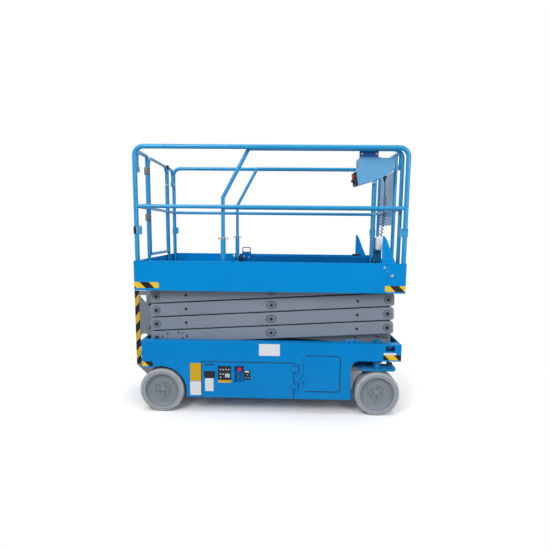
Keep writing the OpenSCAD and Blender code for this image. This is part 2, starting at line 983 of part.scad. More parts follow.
// Half section of a dished wheel disc with its rim and hub, outer side up
module disc_outline() {
    ri = disc_d / 2;
    h = tyre_w / 2 - sidewall_step;
    bore = spindle_d / 2 + fit;
    translate([ri - disc_t, -h])
        square([disc_t, 2 * h]);
    translate([ri - disc_t - dish_r, h - disc_dish])
        difference() {
            square(dish_r);
            translate([0, dish_r])
                circle(r = dish_r);
        }
    translate([hub_d / 2, h - disc_dish - disc_t])
        square([ri - hub_d / 2, disc_t]);
    translate([bore, h - disc_dish - hub_l])
        square([hub_d / 2 - bore, hub_l]);
}

module wheel_place(x, side) {
    translate([x, side * wheel_y, axle_z])
        rotate([side * -90, 0, 0])
            children();
}

module tyre() {
    rotate_extrude()
        tyre_outline();
}

module disc() {
    dish_z = tyre_w / 2 - sidewall_step - disc_dish;
    difference() {
        rotate_extrude()
            disc_outline();
        for (i = [0 : nut_hole_n - 1])
            rotate(i * 360 / nut_hole_n)
                translate([nut_pcd / 2, 0, dish_z - disc_t - over])
                    cylinder(d = nut_hole_d, h = disc_t + 2 * over);
    }
}

module tyre_at(x, side) {
    color("#8b9299")
        wheel_place(x, side)
            tyre();
}

module disc_at(x, side) {
    color("#868e96")
        wheel_place(x, side)
            disc();
}

// One scissor arm tube along X, its centre pivot at the origin
module arm_tube() {
    difference() {
        union() {
            intersection() {
                translate([0, arm_w / 2, 0])
                    rotate([90, 0, 0])
                        linear_extrude(arm_w)
                            translate([-arm_full / 2, -arm_h / 2])
                                round_rect(arm_full, arm_h, arm_end_r);
                translate([-arm_full / 2, 0, 0])
                    rotate([90, 0, 90])
                        linear_extrude(arm_full)
                            difference() {
                                translate([-arm_w / 2, -arm_h / 2])
                                    round_rect(arm_w, arm_h, arm_corner_r);
                                translate([arm_wall - arm_w / 2, arm_wall - arm_h / 2])
                                    square([arm_w - 2 * arm_wall, arm_h - 2 * arm_wall]);
                            }
            }
            for (x = [-arm_l / 2, 0, arm_l / 2])
                bar_y(-arm_w / 2, arm_w / 2, x, 0, bush_d);
        }
        for (x = [-arm_l / 2, 0, arm_l / 2])
            bar_y(-arm_w / 2 - over, arm_w / 2 + over, x, 0, pin_d + 2 * fit);
        for (x = [-inspect_share * arm_full, inspect_share * arm_full])
            bar_y(-arm_w / 2 - over, arm_w / 2 + over, x, 0, inspect_d);
    }
}

function level_z(k) = first_pin_z + (k - 1) * pitch;

// A pair of arms of level k, sloping up to the front or to the rear
module arm_pair(k, y, slope) {
    color("#7d8794")
        for (side = [-1, 1])
            translate([pin_mid, side * (y + arm_w / 2), level_z(k) + pitch / 2])
                rotate([0, -slope, 0])
                    arm_tube();
}

// A pin through an outer arm at (x, z): head outside, collar between the arms, end at the given depth
module pivot_pin(x, z, collar_to, end_y) {
    bar_y(-outer_y - arm_w, -end_y, x, z, pin_d);
    bar_y(-outer_y - arm_w - head_t, -outer_y - arm_w, x, z, head_d);
    bar_y(-outer_y, -collar_to, x, z, collar_d);
}

// The three pins on each outer arm of level k; the top pair carry rollers
module outer_pins(k) {
    inner_face = inner_y + arm_w + seat;
    end_y = inner_y + pin_back_off;
    color("#9aa2ab")
        both_sides() {
            pivot_pin(pin_mid, level_z(k) + pitch / 2, inner_face, end_y);
            if (k == 1)
                pivot_pin(pin_back, level_z(k), ear_y + ear_t + seat, ear_y);
            else
                pivot_pin(pin_back, level_z(k), inner_face, end_y);
            if (k == levels) {
                pivot_pin(pin_front, level_z(k + 1), inner_face, roller_y - pin_back_off);
                bar_y(-roller_y - roller_w, -roller_y, pin_front, level_z(k + 1), roller_d);
            } else {
                pivot_pin(pin_front, level_z(k + 1), inner_face, end_y);
            }
        }
}

// Lift cylinder pins: the barrel's on the lowest inner arms, the rod's on the third level's front pivot
cyl_a = [pin_mid - cyl_base * cos(stow), level_z(1) + pitch / 2 + cyl_base * sin(stow)];
cyl_b = [pin_front, level_z(3)];
cyl_len = norm(cyl_b - cyl_a);
cyl_tilt = atan2(cyl_b[1] - cyl_a[1], cyl_b[0] - cyl_a[0]);
cyl_ear_y = cyl_eye_w / 2 + cyl_eye_gap;

// A cross tube cut at the middle, with an ear on each half for a cylinder eye
module split_tube(x, z) {
    both_sides() {
        bar_y(-inner_y, -cyl_ear_y - cyl_ear_t, x, z, cross_d);
        bar_y(-cyl_ear_y - cyl_ear_t, -cyl_ear_y, x, z, 2 * cyl_ear_r);
    }
}

module inner_tubes(k) {
    color("#7d8794") {
        bar_y(-inner_y, inner_y, pin_back, level_z(k + 1), cross_d);
        if (k == 1) {
            bar_y(-inner_y, inner_y, pin_front, level_z(k), pin_d);
            both_sides()
                bar_y(-roller_y - roller_w, -roller_y, pin_front, level_z(k), roller_d);
            split_tube(cyl_a[0], cyl_a[1]);
            bar_y(-cyl_ear_y, cyl_ear_y, cyl_a[0], cyl_a[1], cyl_pin_d);
        } else if (k == 3) {
            split_tube(cyl_b[0], cyl_b[1]);
        } else {
            bar_y(-inner_y, inner_y, pin_front, level_z(k), cross_d);
        }
    }
}

// Frame of the cylinder: its axis along X from the barrel pin
module cyl_place() {
    translate([cyl_a[0], 0, cyl_a[1]])
        rotate([0, -cyl_tilt, 0])
            children();
}

module lift_barrel() {
    barrel_end = cyl_len - rod_neck;
    color("#2f343a")
        cyl_place()
            difference() {
                union() {
                    bar_y(-cyl_eye_w / 2, cyl_eye_w / 2, 0, 0, cyl_eye_d);
                    bar_x(0, cyl_ear_r + 2 * cyl_eye_gap, 0, 0, cyl_neck_d);
                    bar_x(cyl_ear_r + cyl_eye_gap, barrel_end, 0, 0, barrel_d);
                    bar_x(barrel_end - gland_l, barrel_end, 0, 0, gland_d);
                }
                bar_y(-cyl_eye_w, cyl_eye_w, 0, 0, cyl_pin_d + 2 * fit);
                bar_x(cyl_ear_r + cyl_eye_gap + 2 * cyl_wall, barrel_end - gland_l, 0, 0, cyl_bore);
                bar_x(barrel_end - gland_l - over, barrel_end + over, 0, 0, cyl_rod_d + 2 * fit);
            }
}

module lift_rod() {
    rod_start = cyl_len - rod_inside;
    color("#c9ced3")
        cyl_place()
            difference() {
                union() {
                    bar_x(rod_start, cyl_len, 0, 0, cyl_rod_d);
                    bar_x(rod_start, rod_start + piston_l, 0, 0, cyl_bore - 2 * fit);
                    bar_y(-cyl_eye_w / 2, cyl_eye_w / 2, cyl_len, 0, cyl_eye_d);
                }
                bar_y(-cyl_eye_w, cyl_eye_w, cyl_len, 0, cyl_pin_d + 2 * fit);
            }
}

module platform_floor() {
    color("#0075b8")
        block([platform_back + skin_t, -skin_y, floor_under], [platform_front, skin_y, floor_z]);
}

module platform_sides() {
    gusset_x = platform_front - gusset_back;
    color("#0086d0")
        both_sides() {
            bar_x(platform_back + skin_t, platform_front, (skin_t - platform_w) / 2, toe_z, hem_d);
            side_plate(-platform_w / 2, skin_t) {
                translate([platform_back, skirt_z])
                    square([platform_l, toe_z - skirt_z]);
                polygon(concat(
                    [[gusset_x, skirt_z]],
                    [for (p = gusset_share) [gusset_x + p[0] * gusset_l, toe_z + p[1] * gusset_h]],
                    [[gusset_x + gusset_l, skirt_z]]
                ));
            }
        }
}

module platform_rear() {
    color("#0086d0")
        block([platform_back, -skin_y, skirt_z], [platform_back + skin_t, skin_y, toe_z]);
}

// What the stack carries the platform by: pinned ears at the rear, roller tracks to the front
module platform_mounts() {
    ear_x = platform_ear_l / 2;
    color("#0075b8")
        both_sides() {
            block([pin_back - ear_x, -platform_ear_y - platform_ear_t, top_pin_z - ear_drop],
                  [pin_back + ear_x, -platform_ear_y, floor_under]);
            bar_y(-platform_ear_y - platform_ear_t - head_t, -inner_y - pin_back_off,
                  pin_back, top_pin_z, pin_d);
            block([roller_back - ear_r, -runner_y - runner_w, floor_under - track_h],
                  [pin_front + ear_r, -runner_y, floor_under]);
        }
}

// Side rails: a hoop over the whole side, its mid rail, fold brackets and the short rail across the rear
module side_rail(post_y) {
    x0 = platform_back + rail_d / 2 + skin_t;
    x1 = platform_front - rail_d / 2;
    wing_z = rail_z - wing_drop;
    leg_y = rail_y - wing_in;
    tab_z = wing_z - wing_leg;
    translate([x0, -rail_y, floor_z])
        hoop(x1 - x0, rail_h, rail_d, bend_r);
    bar_x(x0, x1, -rail_y, mid_z, mid_d);
    for (x = [x0 - rail_d / 2, x1 + rail_d / 2 - bracket_w])
        block([x, -rail_y - rail_d / 2, floor_z + bracket_up],
              [x + bracket_w, rail_d / 2 - rail_y, floor_z + bracket_up + bracket_h]);
    bar_y(wing_r - leg_y, -post_y, x0, wing_z, wing_d);
    translate([x0, wing_r - leg_y, wing_z - wing_r])
        rotate([0, 0, -90])
            quarter_bend(wing_r, wing_d);
    bar_z(tab_z, wing_z - wing_r, x0, -leg_y, wing_d);
    block([x0 - wing_tab_t / 2, -rail_y, tab_z - wing_tab_h / 2],
          [x0 + wing_tab_t / 2, wing_d / 2 - leg_y, tab_z + wing_tab_h / 2]);
    bar_y(-rail_y, -post_y, x0, mid_z, wing_d);
    bar_z(floor_z, wing_z, x0, -post_y, wing_d);
    translate([x0, -post_y, wing_z])
        sphere(d = wing_d);
}

module side_rail_right() {
    color("#0086d0")
        side_rail(gate_hinge_y);
}

module side_rail_left() {
    color("#0086d0")
        left()
            side_rail(gate_latch_y);
}

// Entry gate, hung by rings on the right-hand rear post
module gate() {
    x0 = platform_back + rail_d / 2 + skin_t;
    y0 = gate_inset - gate_hinge_y;
    y1 = gate_latch_y - gate_inset;
    z0 = floor_z + gate_low;
    gate_h = rail_h - wing_drop - gate_low;
    color("#0086d0")
        difference() {
            union() {
                translate([x0, y0, z0])
                    rotate([0, 0, 90])
                        hoop(y1 - y0, gate_h, gate_d, bend_r);
                bar_y(y0, y1, x0, z0, gate_d);
                bar_y(y0, y1, x0, mid_z, gate_d);
                for (s = gate_ring_share) {
                    ring_z = z0 + s * (gate_h - bend_r);
                    bar_z(ring_z, ring_z + gate_ring_h, x0, -gate_hinge_y, gate_ring_d);
                    block([x0 - gate_d / 4, -gate_hinge_y, ring_z],
                          [x0 + gate_d / 4, y0, ring_z + gate_ring_h]);
                }
            }
            bar_z(floor_z, rail_z, x0, -gate_hinge_y, wing_d + 2 * fit);
        }
}

// Roll-out deck plate with its side and front boards
module extension_deck() {
    color("#0075b8") {
        block([ext_back, -ext_w / 2, ext_floor_z], [ext_front, ext_w / 2, ext_floor_z + ext_t]);
        both_sides()
            block([ext_back, -ext_w / 2, ext_floor_z],
                  [ext_front, skin_t - ext_w / 2, ext_floor_z + ext_toe_h]);
        block([ext_front, -ext_w / 2, ext_floor_z], [platform_front, ext_w / 2, ext_floor_z + ext_toe_h]);
        block([cord_end[0] - outlet_w / 2, skin_t - over - ext_w / 2, ext_floor_z + ext_toe_h - outlet_h],
              [cord_end[0] + outlet_w / 2, cord_end[1] + outlet_w / 2, ext_floor_z + ext_toe_h]);
        bar_z(ext_floor_z + ext_toe_h - outlet_h, cord_end[2], cord_end[0], cord_end[1], gland_out_d);
    }
}

// Extension side rail: socketed rear post, kinked up to the top rail, and a bent front corner
module extension_rail() {
    base_z = ext_floor_z + ext_t;
    post_x = ext_back + ext_post_in;
    kink_z = floor_z + ext_kink_h;
    front_h = ext_rail_z - base_z;
    bar_z(base_z, base_z + socket_h, post_x, -ext_y, socket_d);
    bar_z(base_z, kink_z, post_x, -ext_y, mid_d);
    translate([post_x, -ext_y, kink_z])
        sphere(d = mid_d);
    slant_xz(post_x, kink_z, post_x + ext_kink_run, ext_rail_z, -ext_y, mid_d);
    translate([post_x + ext_kink_run, -ext_y, ext_rail_z])
        sphere(d = mid_d);
    bar_x(post_x + ext_kink_run, ext_post_front - bend_r, -ext_y, ext_rail_z, mid_d);
    translate([ext_post_front - bend_r, -ext_y, ext_rail_z - bend_r])
        quarter_bend(bend_r, mid_d);
    bar_z(base_z, base_z + front_h - bend_r, ext_post_front, -ext_y, mid_d);
    bar_x(post_x, ext_post_front, -ext_y, ext_mid_z, mid_d);
}

module extension_rail_right() {
    color("#0086d0")
        extension_rail();
}

module extension_rail_left() {
    color("#0086d0")
        left()
            extension_rail();
}

// Front of the extension: a bent top rail tabbed to the corner posts, a mid rail, and a panel on two uprights
module extension_front() {
    base_z = ext_floor_z + ext_t;
    reach = ext_y - mid_d / 2 - seat;
    top_z = ext_rail_z - front_drop;
    leg_y = ext_y - wing_in;
    tab_z = top_z - front_leg;
    color("#0086d0") {
        bar_y(-reach, reach, ext_post_front, ext_mid_z, mid_d);
        bar_y(wing_r - leg_y, leg_y - wing_r, ext_post_front, top_z, mid_d);
        both_sides() {
            translate([ext_post_front, wing_r - leg_y, top_z - wing_r])
                rotate([0, 0, -90])
                    quarter_bend(wing_r, mid_d);
            bar_z(tab_z, top_z - wing_r, ext_post_front, -leg_y, mid_d);
            block([ext_post_front - wing_tab_t / 2, -reach, tab_z - wing_tab_h / 2],
                  [ext_post_front + wing_tab_t / 2, mid_d / 2 - leg_y, tab_z + wing_tab_h / 2]);
        }
        for (y = [panel_y0, panel_y1])
            bar_z(base_z, top_z, ext_post_front, y, mid_d);
        block([ext_post_front - panel_t / 2, panel_y0, floor_z + panel_low],
              [ext_post_front + panel_t / 2, panel_y1, floor_z + panel_high]);
    }
}

// Platform control box, hung inside the extension's right-hand rail by a hook over the tube
module control_box() {
    top_z = ext_rail_z - box_top;
    hook_r = mid_d / 2 + seat;
    hook_x = box_back + box_hook_in;
    color("#0f6fb4") {
        side_plate(-box_y, box_w)
            polygon([for (p = box_outline_share) [box_back + p[0] * box_l, top_z - p[1] * box_h]]);
        block([hook_x, -ext_y + hook_r, top_z - box_plate_t],
              [hook_x + box_hook_l, -box_y + box_plate_t, ext_rail_z + hook_r + hook_t]);
        block([hook_x, -ext_y - hook_r, ext_rail_z + hook_r],
              [hook_x + box_hook_l, -box_y, ext_rail_z + hook_r + hook_t]);
        bar_z(cord_start[2], top_z - box_h / 4, cord_start[0], cord_start[1], gland_out_d);
    }
}

// Unit vectors and rings for a tube along the cord's points, its end rings level
function unit(v) = v / norm(v);
function cord_dir(i) =
    i == 0 || i == cord_steps ? [0, 0, -1] : unit(cord_points[i + 1] - cord_points[i - 1]);
function ring_point(i, j) =
    let (d = cord_dir(i),
         u = unit(cross([0, 1, 0], d)),
         v = cross(d, u),
         a = 360 * j / cord_sides)
    cord_points[i] + cord_d / 2 * (cos(a) * u + sin(a) * v);

module control_cord() {
    n = len(cord_points);
    s = cord_sides;
    color("#1b1d20")
        polyhedron(
            points = [for (i = [0 : n - 1], j = [0 : s - 1]) ring_point(i, j)],
            faces = concat(
                [[for (j = [0 : s - 1]) j]],
                [[for (j = [s - 1 : -1 : 0]) (n - 1) * s + j]],
                [for (i = [0 : n - 2], j = [0 : s - 1])
                    [i * s + j, (i + 1) * s + j, (i + 1) * s + (j + 1) % s, i * s + (j + 1) % s]]
            )
        );
}

chassis_sides();
chassis_flanges();
chassis_rails();
chassis_bulkheads();
chassis_deck();
chassis_ends();
kingpin_beam();
rear_axle();
ladder();
tray_right();
power_unit();
tray_left();
batteries();
access_door_right();
access_door_left();
yoke_right();
yoke_left();
tie_rod();
tyre_at(front_axle, -1);  // tyre_front_right
disc_at(front_axle, -1);  // disc_front_right
tyre_at(front_axle, 1);  // tyre_front_left
disc_at(front_axle, 1);  // disc_front_left
tyre_at(rear_axle_x, -1);  // tyre_rear_right
disc_at(rear_axle_x, -1);  // disc_rear_right
tyre_at(rear_axle_x, 1);  // tyre_rear_left
disc_at(rear_axle_x, 1);  // disc_rear_left
arm_pair(1, outer_y, stow);  // outer_arms_1
arm_pair(2, outer_y, stow);  // outer_arms_2
arm_pair(3, outer_y, stow);  // outer_arms_3
arm_pair(4, outer_y, stow);  // outer_arms_4
outer_pins(1);  // outer_pins_1
outer_pins(2);  // outer_pins_2
outer_pins(3);  // outer_pins_3
outer_pins(4);  // outer_pins_4
arm_pair(1, inner_y, -stow);  // inner_arms_1
arm_pair(2, inner_y, -stow);  // inner_arms_2
arm_pair(3, inner_y, -stow);  // inner_arms_3
arm_pair(4, inner_y, -stow);  // inner_arms_4
inner_tubes(1);  // inner_tubes_1
inner_tubes(2);  // inner_tubes_2
inner_tubes(3);  // inner_tubes_3
inner_tubes(4);  // inner_tubes_4
lift_barrel();
lift_rod();
platform_floor();
platform_sides();
platform_rear();
platform_mounts();
side_rail_right();
side_rail_left();
gate();
extension_deck();
extension_rail_right();
extension_rail_left();
extension_front();
control_box();
control_cord();
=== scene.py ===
import math

import bmesh
import bpy
from mathutils import Matrix, Vector


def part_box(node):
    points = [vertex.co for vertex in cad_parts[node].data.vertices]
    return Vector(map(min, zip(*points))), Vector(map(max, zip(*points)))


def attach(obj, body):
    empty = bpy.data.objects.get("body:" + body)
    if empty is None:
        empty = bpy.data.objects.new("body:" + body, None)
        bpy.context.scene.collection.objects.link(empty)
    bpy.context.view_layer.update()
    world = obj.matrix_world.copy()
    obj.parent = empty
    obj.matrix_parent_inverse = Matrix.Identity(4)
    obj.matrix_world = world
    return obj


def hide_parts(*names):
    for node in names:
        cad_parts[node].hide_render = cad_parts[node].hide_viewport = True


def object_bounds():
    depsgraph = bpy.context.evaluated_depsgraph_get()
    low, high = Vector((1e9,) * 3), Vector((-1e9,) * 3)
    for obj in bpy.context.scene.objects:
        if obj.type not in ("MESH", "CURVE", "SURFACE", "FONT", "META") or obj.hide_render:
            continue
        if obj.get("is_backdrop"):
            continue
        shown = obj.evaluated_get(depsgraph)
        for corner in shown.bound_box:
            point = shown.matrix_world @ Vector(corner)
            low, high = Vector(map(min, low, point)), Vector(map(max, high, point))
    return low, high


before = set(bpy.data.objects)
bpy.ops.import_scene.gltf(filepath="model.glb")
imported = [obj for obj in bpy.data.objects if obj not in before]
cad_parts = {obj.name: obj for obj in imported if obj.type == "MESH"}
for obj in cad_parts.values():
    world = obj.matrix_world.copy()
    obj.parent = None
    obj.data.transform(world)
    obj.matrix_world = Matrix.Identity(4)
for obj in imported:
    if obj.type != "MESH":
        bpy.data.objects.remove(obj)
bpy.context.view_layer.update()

# Camera: it stands in front of the machine's right side at chest height and looks a little down through
# a wide lens. Its place, turn and focal length are those of the photograph, whose frame is 550 pixels.
camera_place = Vector((0.2022, -3.6539, 1.5611))
camera_yaw, camera_pitch, camera_roll = -0.0218, 0.1147, 0.0103
focal_px, frame_px = 374.08, 550.0

ahead = Vector((math.sin(camera_yaw), math.cos(camera_yaw), 0.0))
across = Vector((math.cos(camera_yaw), -math.sin(camera_yaw), 0.0))
above = Vector((0.0, 0.0, 1.0))
forward = math.cos(camera_pitch) * ahead - math.sin(camera_pitch) * above
level_up = math.sin(camera_pitch) * ahead + math.cos(camera_pitch) * above
right = math.cos(camera_roll) * across + math.sin(camera_roll) * level_up
up = math.cos(camera_roll) * level_up - math.sin(camera_roll) * across

camera_data = bpy.data.cameras.new("camera")
camera_data.sensor_width = 36.0
camera_data.lens = focal_px / frame_px * camera_data.sensor_width
camera = bpy.data.objects.new("camera", camera_data)
bpy.context.scene.collection.objects.link(camera)
camera.matrix_world = Matrix.Translation(camera_place) @ Matrix((right, up, -forward)).transposed().to_4x4()
bpy.context.scene.camera = camera
bpy.context.scene.view_settings.view_transform = "Standard"


# Curly control cord: rubber-sheathed cable wound into a spring, from the gland under the control box down
# to the outlet on the extension deck. A straight lead is left at each end, as the maker winds it.
def put(tree, socket, value):
    """Links a socket to another node's output, or sets it to a constant."""
    if isinstance(value, bpy.types.NodeSocket):
        tree.links.new(value, socket)
    else:
        socket.default_value = value


def add(tree, kind, inputs=None, **settings):
    """A node of that kind with its settings, and its inputs set or linked by name or number."""
    made = tree.nodes.new(kind)
    for name, value in settings.items():
        setattr(made, name, value)
    for name, value in (inputs or {}).items():
        put(tree, made.inputs[name], value)
    return made


def sums(tree, operation, a, b=0.0, clamp=False):
    """The output of a Math node."""
    return add(tree, "ShaderNodeMath", {0: a, 1: b}, operation=operation, use_clamp=clamp).outputs[0]


def mixed(tree, share, a, b, mode="MIX"):
    """The colour output of a Mix node."""
    made = add(tree, "ShaderNodeMix", data_type="RGBA", blend_type=mode)
    for number, value in ((0, share), (6, a), (7, b)):
        put(tree, made.inputs[number], value)
    return made.outputs[2]


def spread(tree, value, low, high, to_low=0.0, to_high=1.0):
    """A value mapped from one range to another, and held to its ends."""
    made = add(tree, "ShaderNodeMapRange",
               {"Value": value, "From Min": low, "From Max": high, "To Min": to_low, "To Max": to_high})
    return made.outputs["Result"]


def noise(tree, place, scale, detail=2.0, rough=0.5):
    """The value of a noise texture."""
    made = add(tree, "ShaderNodeTexNoise",
               {"Vector": place, "Scale": scale, "Detail": detail, "Roughness": rough})
    return made.outputs["Fac"]


def finish(name):
    """A new material: its node tree, its object coordinates and its Principled shader."""
    made = bpy.data.materials.new(name)
    made.use_nodes = True
    tree = made.node_tree
    place = add(tree, "ShaderNodeTexCoord").outputs["Object"]
    return made, tree, place, tree.nodes["Principled BSDF"]


def bumped(tree, shader, height, strength, depth):
    """A Bump node from a height to the shader's normal."""
    made = add(tree, "ShaderNodeBump", {"Strength": strength, "Distance": depth, "Height": height})
    tree.links.new(made.outputs["Normal"], shader.inputs["Normal"])


cord_start, cord_end = Vector((1.050, -0.400, 2.02514)), Vector((0.985, -0.440, 1.31444))
cord_bow, cord_steps = Vector((0.033, 0.008, 0.0)), 10
cord_d, cord_coil_d, cord_pitch = 0.0080, 0.026, 0.0285
cord_lead_top, cord_lead_end, cord_ease = 0.125, 0.030, 0.040
turn_steps, lead_steps, end_steps = 14, 6, 3

route = [cord_start.lerp(cord_end, i / cord_steps) + math.sin(math.pi * i / cord_steps) * cord_bow
         for i in range(cord_steps + 1)]
route_marks = [0.0]
for a, b in zip(route, route[1:]):
    route_marks.append(route_marks[-1] + (b - a).length)
route_length = route_marks[-1]


def along_route(distance):
    """The point of the route at that distance from its start."""
    for i in range(cord_steps):
        if distance <= route_marks[i + 1] or i == cord_steps - 1:
            share = (distance - route_marks[i]) / (route_marks[i + 1] - route_marks[i])
            return route[i].lerp(route[i + 1], share)


cord_line = []
wound_end = route_length - cord_lead_end
steps = round((wound_end - cord_lead_top) / cord_pitch) * turn_steps
for i in range(lead_steps):
    cord_line.append(along_route(cord_lead_top * i / lead_steps))
for i in range(steps + 1):
    distance = cord_lead_top + (wound_end - cord_lead_top) * i / steps
    angle = 2 * math.pi * i / turn_steps
    ease = min(1.0, (distance - cord_lead_top) / cord_ease, (wound_end - distance) / cord_ease)
    reach = (cord_coil_d - cord_d) / 2 * max(ease, 0.0)
    cord_line.append(along_route(distance) + Vector((math.cos(angle), math.sin(angle), 0.0)) * reach)
for i in range(1, end_steps + 1):
    cord_line.append(along_route(wound_end + cord_lead_end * i / end_steps))

cord_curve = bpy.data.curves.new("curly_cord", "CURVE")
cord_curve.dimensions = "3D"
cord_curve.bevel_depth = cord_d / 2
cord_curve.bevel_resolution = 3
cord_curve.use_fill_caps = True
spline = cord_curve.splines.new("POLY")
spline.points.add(len(cord_line) - 1)
for point, spot in zip(spline.points, cord_line):
    point.co = (*spot, 1.0)

cord_sheath, tree, place, shader = finish("cord_sheath")
sheath = noise(tree, place, 320.0, 3.0)
sheath_tone = mixed(tree, sheath, (0.006, 0.006, 0.008, 1), (0.018, 0.018, 0.020, 1))
put(tree, shader.inputs["Base Color"], sheath_tone)
put(tree, shader.inputs["Roughness"], spread(tree, sheath, 0.2, 0.8, 0.42, 0.62))
bumped(tree, shader, sheath, 0.15, 0.0004)
cord_curve.materials.append(cord_sheath)
curly_cord = bpy.data.objects.new("curly_cord", cord_curve)
bpy.context.scene.collection.objects.link(curly_cord)
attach(curly_cord, "extension")
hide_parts("control_cord")

# Studio: a plain pale floor, a white surround, three soft boxes and a soft light from above. The floor
# fades to the surround's white and keeps the machine's soft shadow; the back box lights without a glare.
ambient_level, floor_bounce = 0.40, (0.42, 0.42, 0.42, 1)
fade_start, fade_end, floor_r = 1.1, 2.3, 14.0
world = bpy.data.worlds.new("studio")
bpy.context.scene.world = world
world.use_nodes = True
tree = world.node_tree
tree.nodes.clear()
rays = add(tree, "ShaderNodeLightPath")
seen = sums(tree, "MAXIMUM", rays.outputs["Is Camera Ray"], rays.outputs["Is Glossy Ray"])
seen = sums(tree, "MAXIMUM", seen, rays.outputs["Is Transmission Ray"])
ambient = add(tree, "ShaderNodeBackground", {"Color": (0.96, 0.98, 1.0, 1), "Strength": ambient_level})
surround = add(tree, "ShaderNodeBackground", {"Color": (1, 1, 1, 1), "Strength": 1.0})
both = add(tree, "ShaderNodeMixShader", {0: seen, 1: ambient.outputs[0], 2: surround.outputs[0]})
add(tree, "ShaderNodeOutputWorld", {"Surface": both.outputs[0]})

floor_paint, tree, place, shader = finish("floor")
pale = mixed(tree, noise(tree, place, 3.0, 3.0), (0.92, 0.92, 0.92, 1), (0.95, 0.95, 0.95, 1))
rays = add(tree, "ShaderNodeLightPath")
seen = sums(tree, "MAXIMUM", rays.outputs["Is Camera Ray"], rays.outputs["Is Glossy Ray"])
put(tree, shader.inputs["Base Color"], mixed(tree, seen, floor_bounce, pale))
shader.inputs["Roughness"].default_value = 0.85
shader.inputs["Specular IOR Level"].default_value = 0.1
far = add(tree, "ShaderNodeVectorMath", {0: place}, operation="LENGTH").outputs["Value"]
white = add(tree, "ShaderNodeEmission", {"Color": (1, 1, 1, 1), "Strength": 1.0})
fade = sums(tree, "MULTIPLY", spread(tree, far, fade_start, fade_end), seen)
both = add(tree, "ShaderNodeMixShader", {0: fade, 1: shader.outputs[0], 2: white.outputs[0]})
tree.links.new(both.outputs[0], tree.nodes["Material Output"].inputs["Surface"])
bm = bmesh.new()
bmesh.ops.create_circle(bm, cap_ends=True, segments=64, radius=floor_r)
floor_mesh = bpy.data.meshes.new("floor")
bm.to_mesh(floor_mesh)
bm.free()
floor_mesh.materials.append(floor_paint)
floor = bpy.data.objects.new("floor", floor_mesh)
bpy.context.scene.collection.objects.link(floor)
floor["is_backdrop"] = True

overhead = bpy.data.lights.new("overhead", "SUN")
overhead.energy = 1.30
overhead.angle = math.radians(36)
bpy.context.scene.collection.objects.link(bpy.data.objects.new("overhead", overhead))
soft_boxes = {
    "key": ((-2.2, -4.6, 5.0), 3.0, 222.0),
    "fill": ((3.6, -4.6, 3.0), 3.0, 105.0),
    "back": ((0.8, 4.8, 4.2), 3.4, 120.0),
}
machine_middle = Vector((0.0, 0.0, 1.1))
for name, (spot, size, power) in soft_boxes.items():
    lamp = bpy.data.lights.new(name, "AREA")
    lamp.shape = "DISK"
    lamp.size = size
    lamp.energy = power
    box = bpy.data.objects.new(name, lamp)
    box.visible_glossy = name != "back"
    bpy.context.scene.collection.objects.link(box)
    aim = (machine_middle - Vector(spot)).to_track_quat("-Z", "Y").to_matrix().to_4x4()
    box.matrix_world = Matrix.Translation(spot) @ aim


# Chassis: folded and welded steel plate under gloss blue enamel. The enamel has orange peel, a slightly
# uneven tone, paler edges that are partly wear and partly a painted highlight, faint run-off streaks,
# painted shade that darkens seams, corners and gaps, and a little road dust near the ground.
def shared(name, **inputs):
    """A shader node group with named inputs: its tree, inputs, outputs and object coordinates."""
    tree = bpy.data.node_groups.new(name, "ShaderNodeTree")
    for label, value in inputs.items():
        kind = "Float" if isinstance(value, float) else "Color" if len(value) == 4 else "Vector"
        socket = tree.interface.new_socket(label, in_out="INPUT", socket_type=f"NodeSocket{kind}")
        socket.default_value = value
    for label, kind in (("Color", "Color"), ("Roughness", "Float"), ("Height", "Float")):
        tree.interface.new_socket(label, in_out="OUTPUT", socket_type=f"NodeSocket{kind}")
    place = add(tree, "ShaderNodeTexCoord").outputs["Object"]
    return tree, tree.nodes.new("NodeGroupInput").outputs, tree.nodes.new("NodeGroupOutput").inputs, place


def coated(name, cover, values, relief, **fixed):
    """A material whose colour, roughness and relief come from a shared group; fixed sets shader sockets."""
    made, tree, place, shader = finish(name)
    group = add(tree, "ShaderNodeGroup", values, node_tree=cover)
    tree.links.new(group.outputs["Color"], shader.inputs["Base Color"])
    tree.links.new(group.outputs["Roughness"], shader.inputs["Roughness"])
    bumped(tree, shader, group.outputs["Height"], *relief)
    for label, value in fixed.items():
        shader.inputs[label.replace("_", " ")].default_value = value
    return made


enamel, given, out, place = shared("enamel_wear_and_painted_light", Paint=(0.5, 0.5, 0.5, 1), Wear=0.4, Dust=0.5, Gloss=0.34)
tone = spread(enamel, noise(enamel, place, 2.4, 3.0), 0.3, 0.7, 0.95, 1.05)
grey = add(enamel, "ShaderNodeCombineColor", {0: tone, 1: tone, 2: tone}).outputs[0]
toned = mixed(enamel, 1.0, given["Paint"], grey, "MULTIPLY")
tall = add(enamel, "ShaderNodeMapping", {"Vector": place, "Scale": (11.0, 11.0, 0.8)}).outputs[0]
streak = spread(enamel, noise(enamel, tall, 2.0, 5.0, 0.6), 0.54, 0.82, 0.0, 0.14)
streaked = mixed(enamel, streak, toned, mixed(enamel, 0.5, given["Paint"], (0.05, 0.07, 0.09, 1)))
height = add(enamel, "ShaderNodeSeparateXYZ", {0: place}).outputs["Z"]
low = spread(enamel, height, 0.62, 0.12)
cloud = spread(enamel, noise(enamel, place, 26.0, 6.0, 0.7), 0.38, 0.78)
dust = sums(enamel, "MULTIPLY", sums(enamel, "MULTIPLY", low, cloud), given["Dust"], clamp=True)
dusted = mixed(enamel, dust, streaked, (0.30, 0.31, 0.31, 1))
# Paler edges, in noisy patches scaled by Wear: partly worn paint and partly a painted highlight.
rounded = add(enamel, "ShaderNodeBevel", {"Radius": 0.005}, samples=4).outputs["Normal"]
facing = add(enamel, "ShaderNodeNewGeometry").outputs["Normal"]
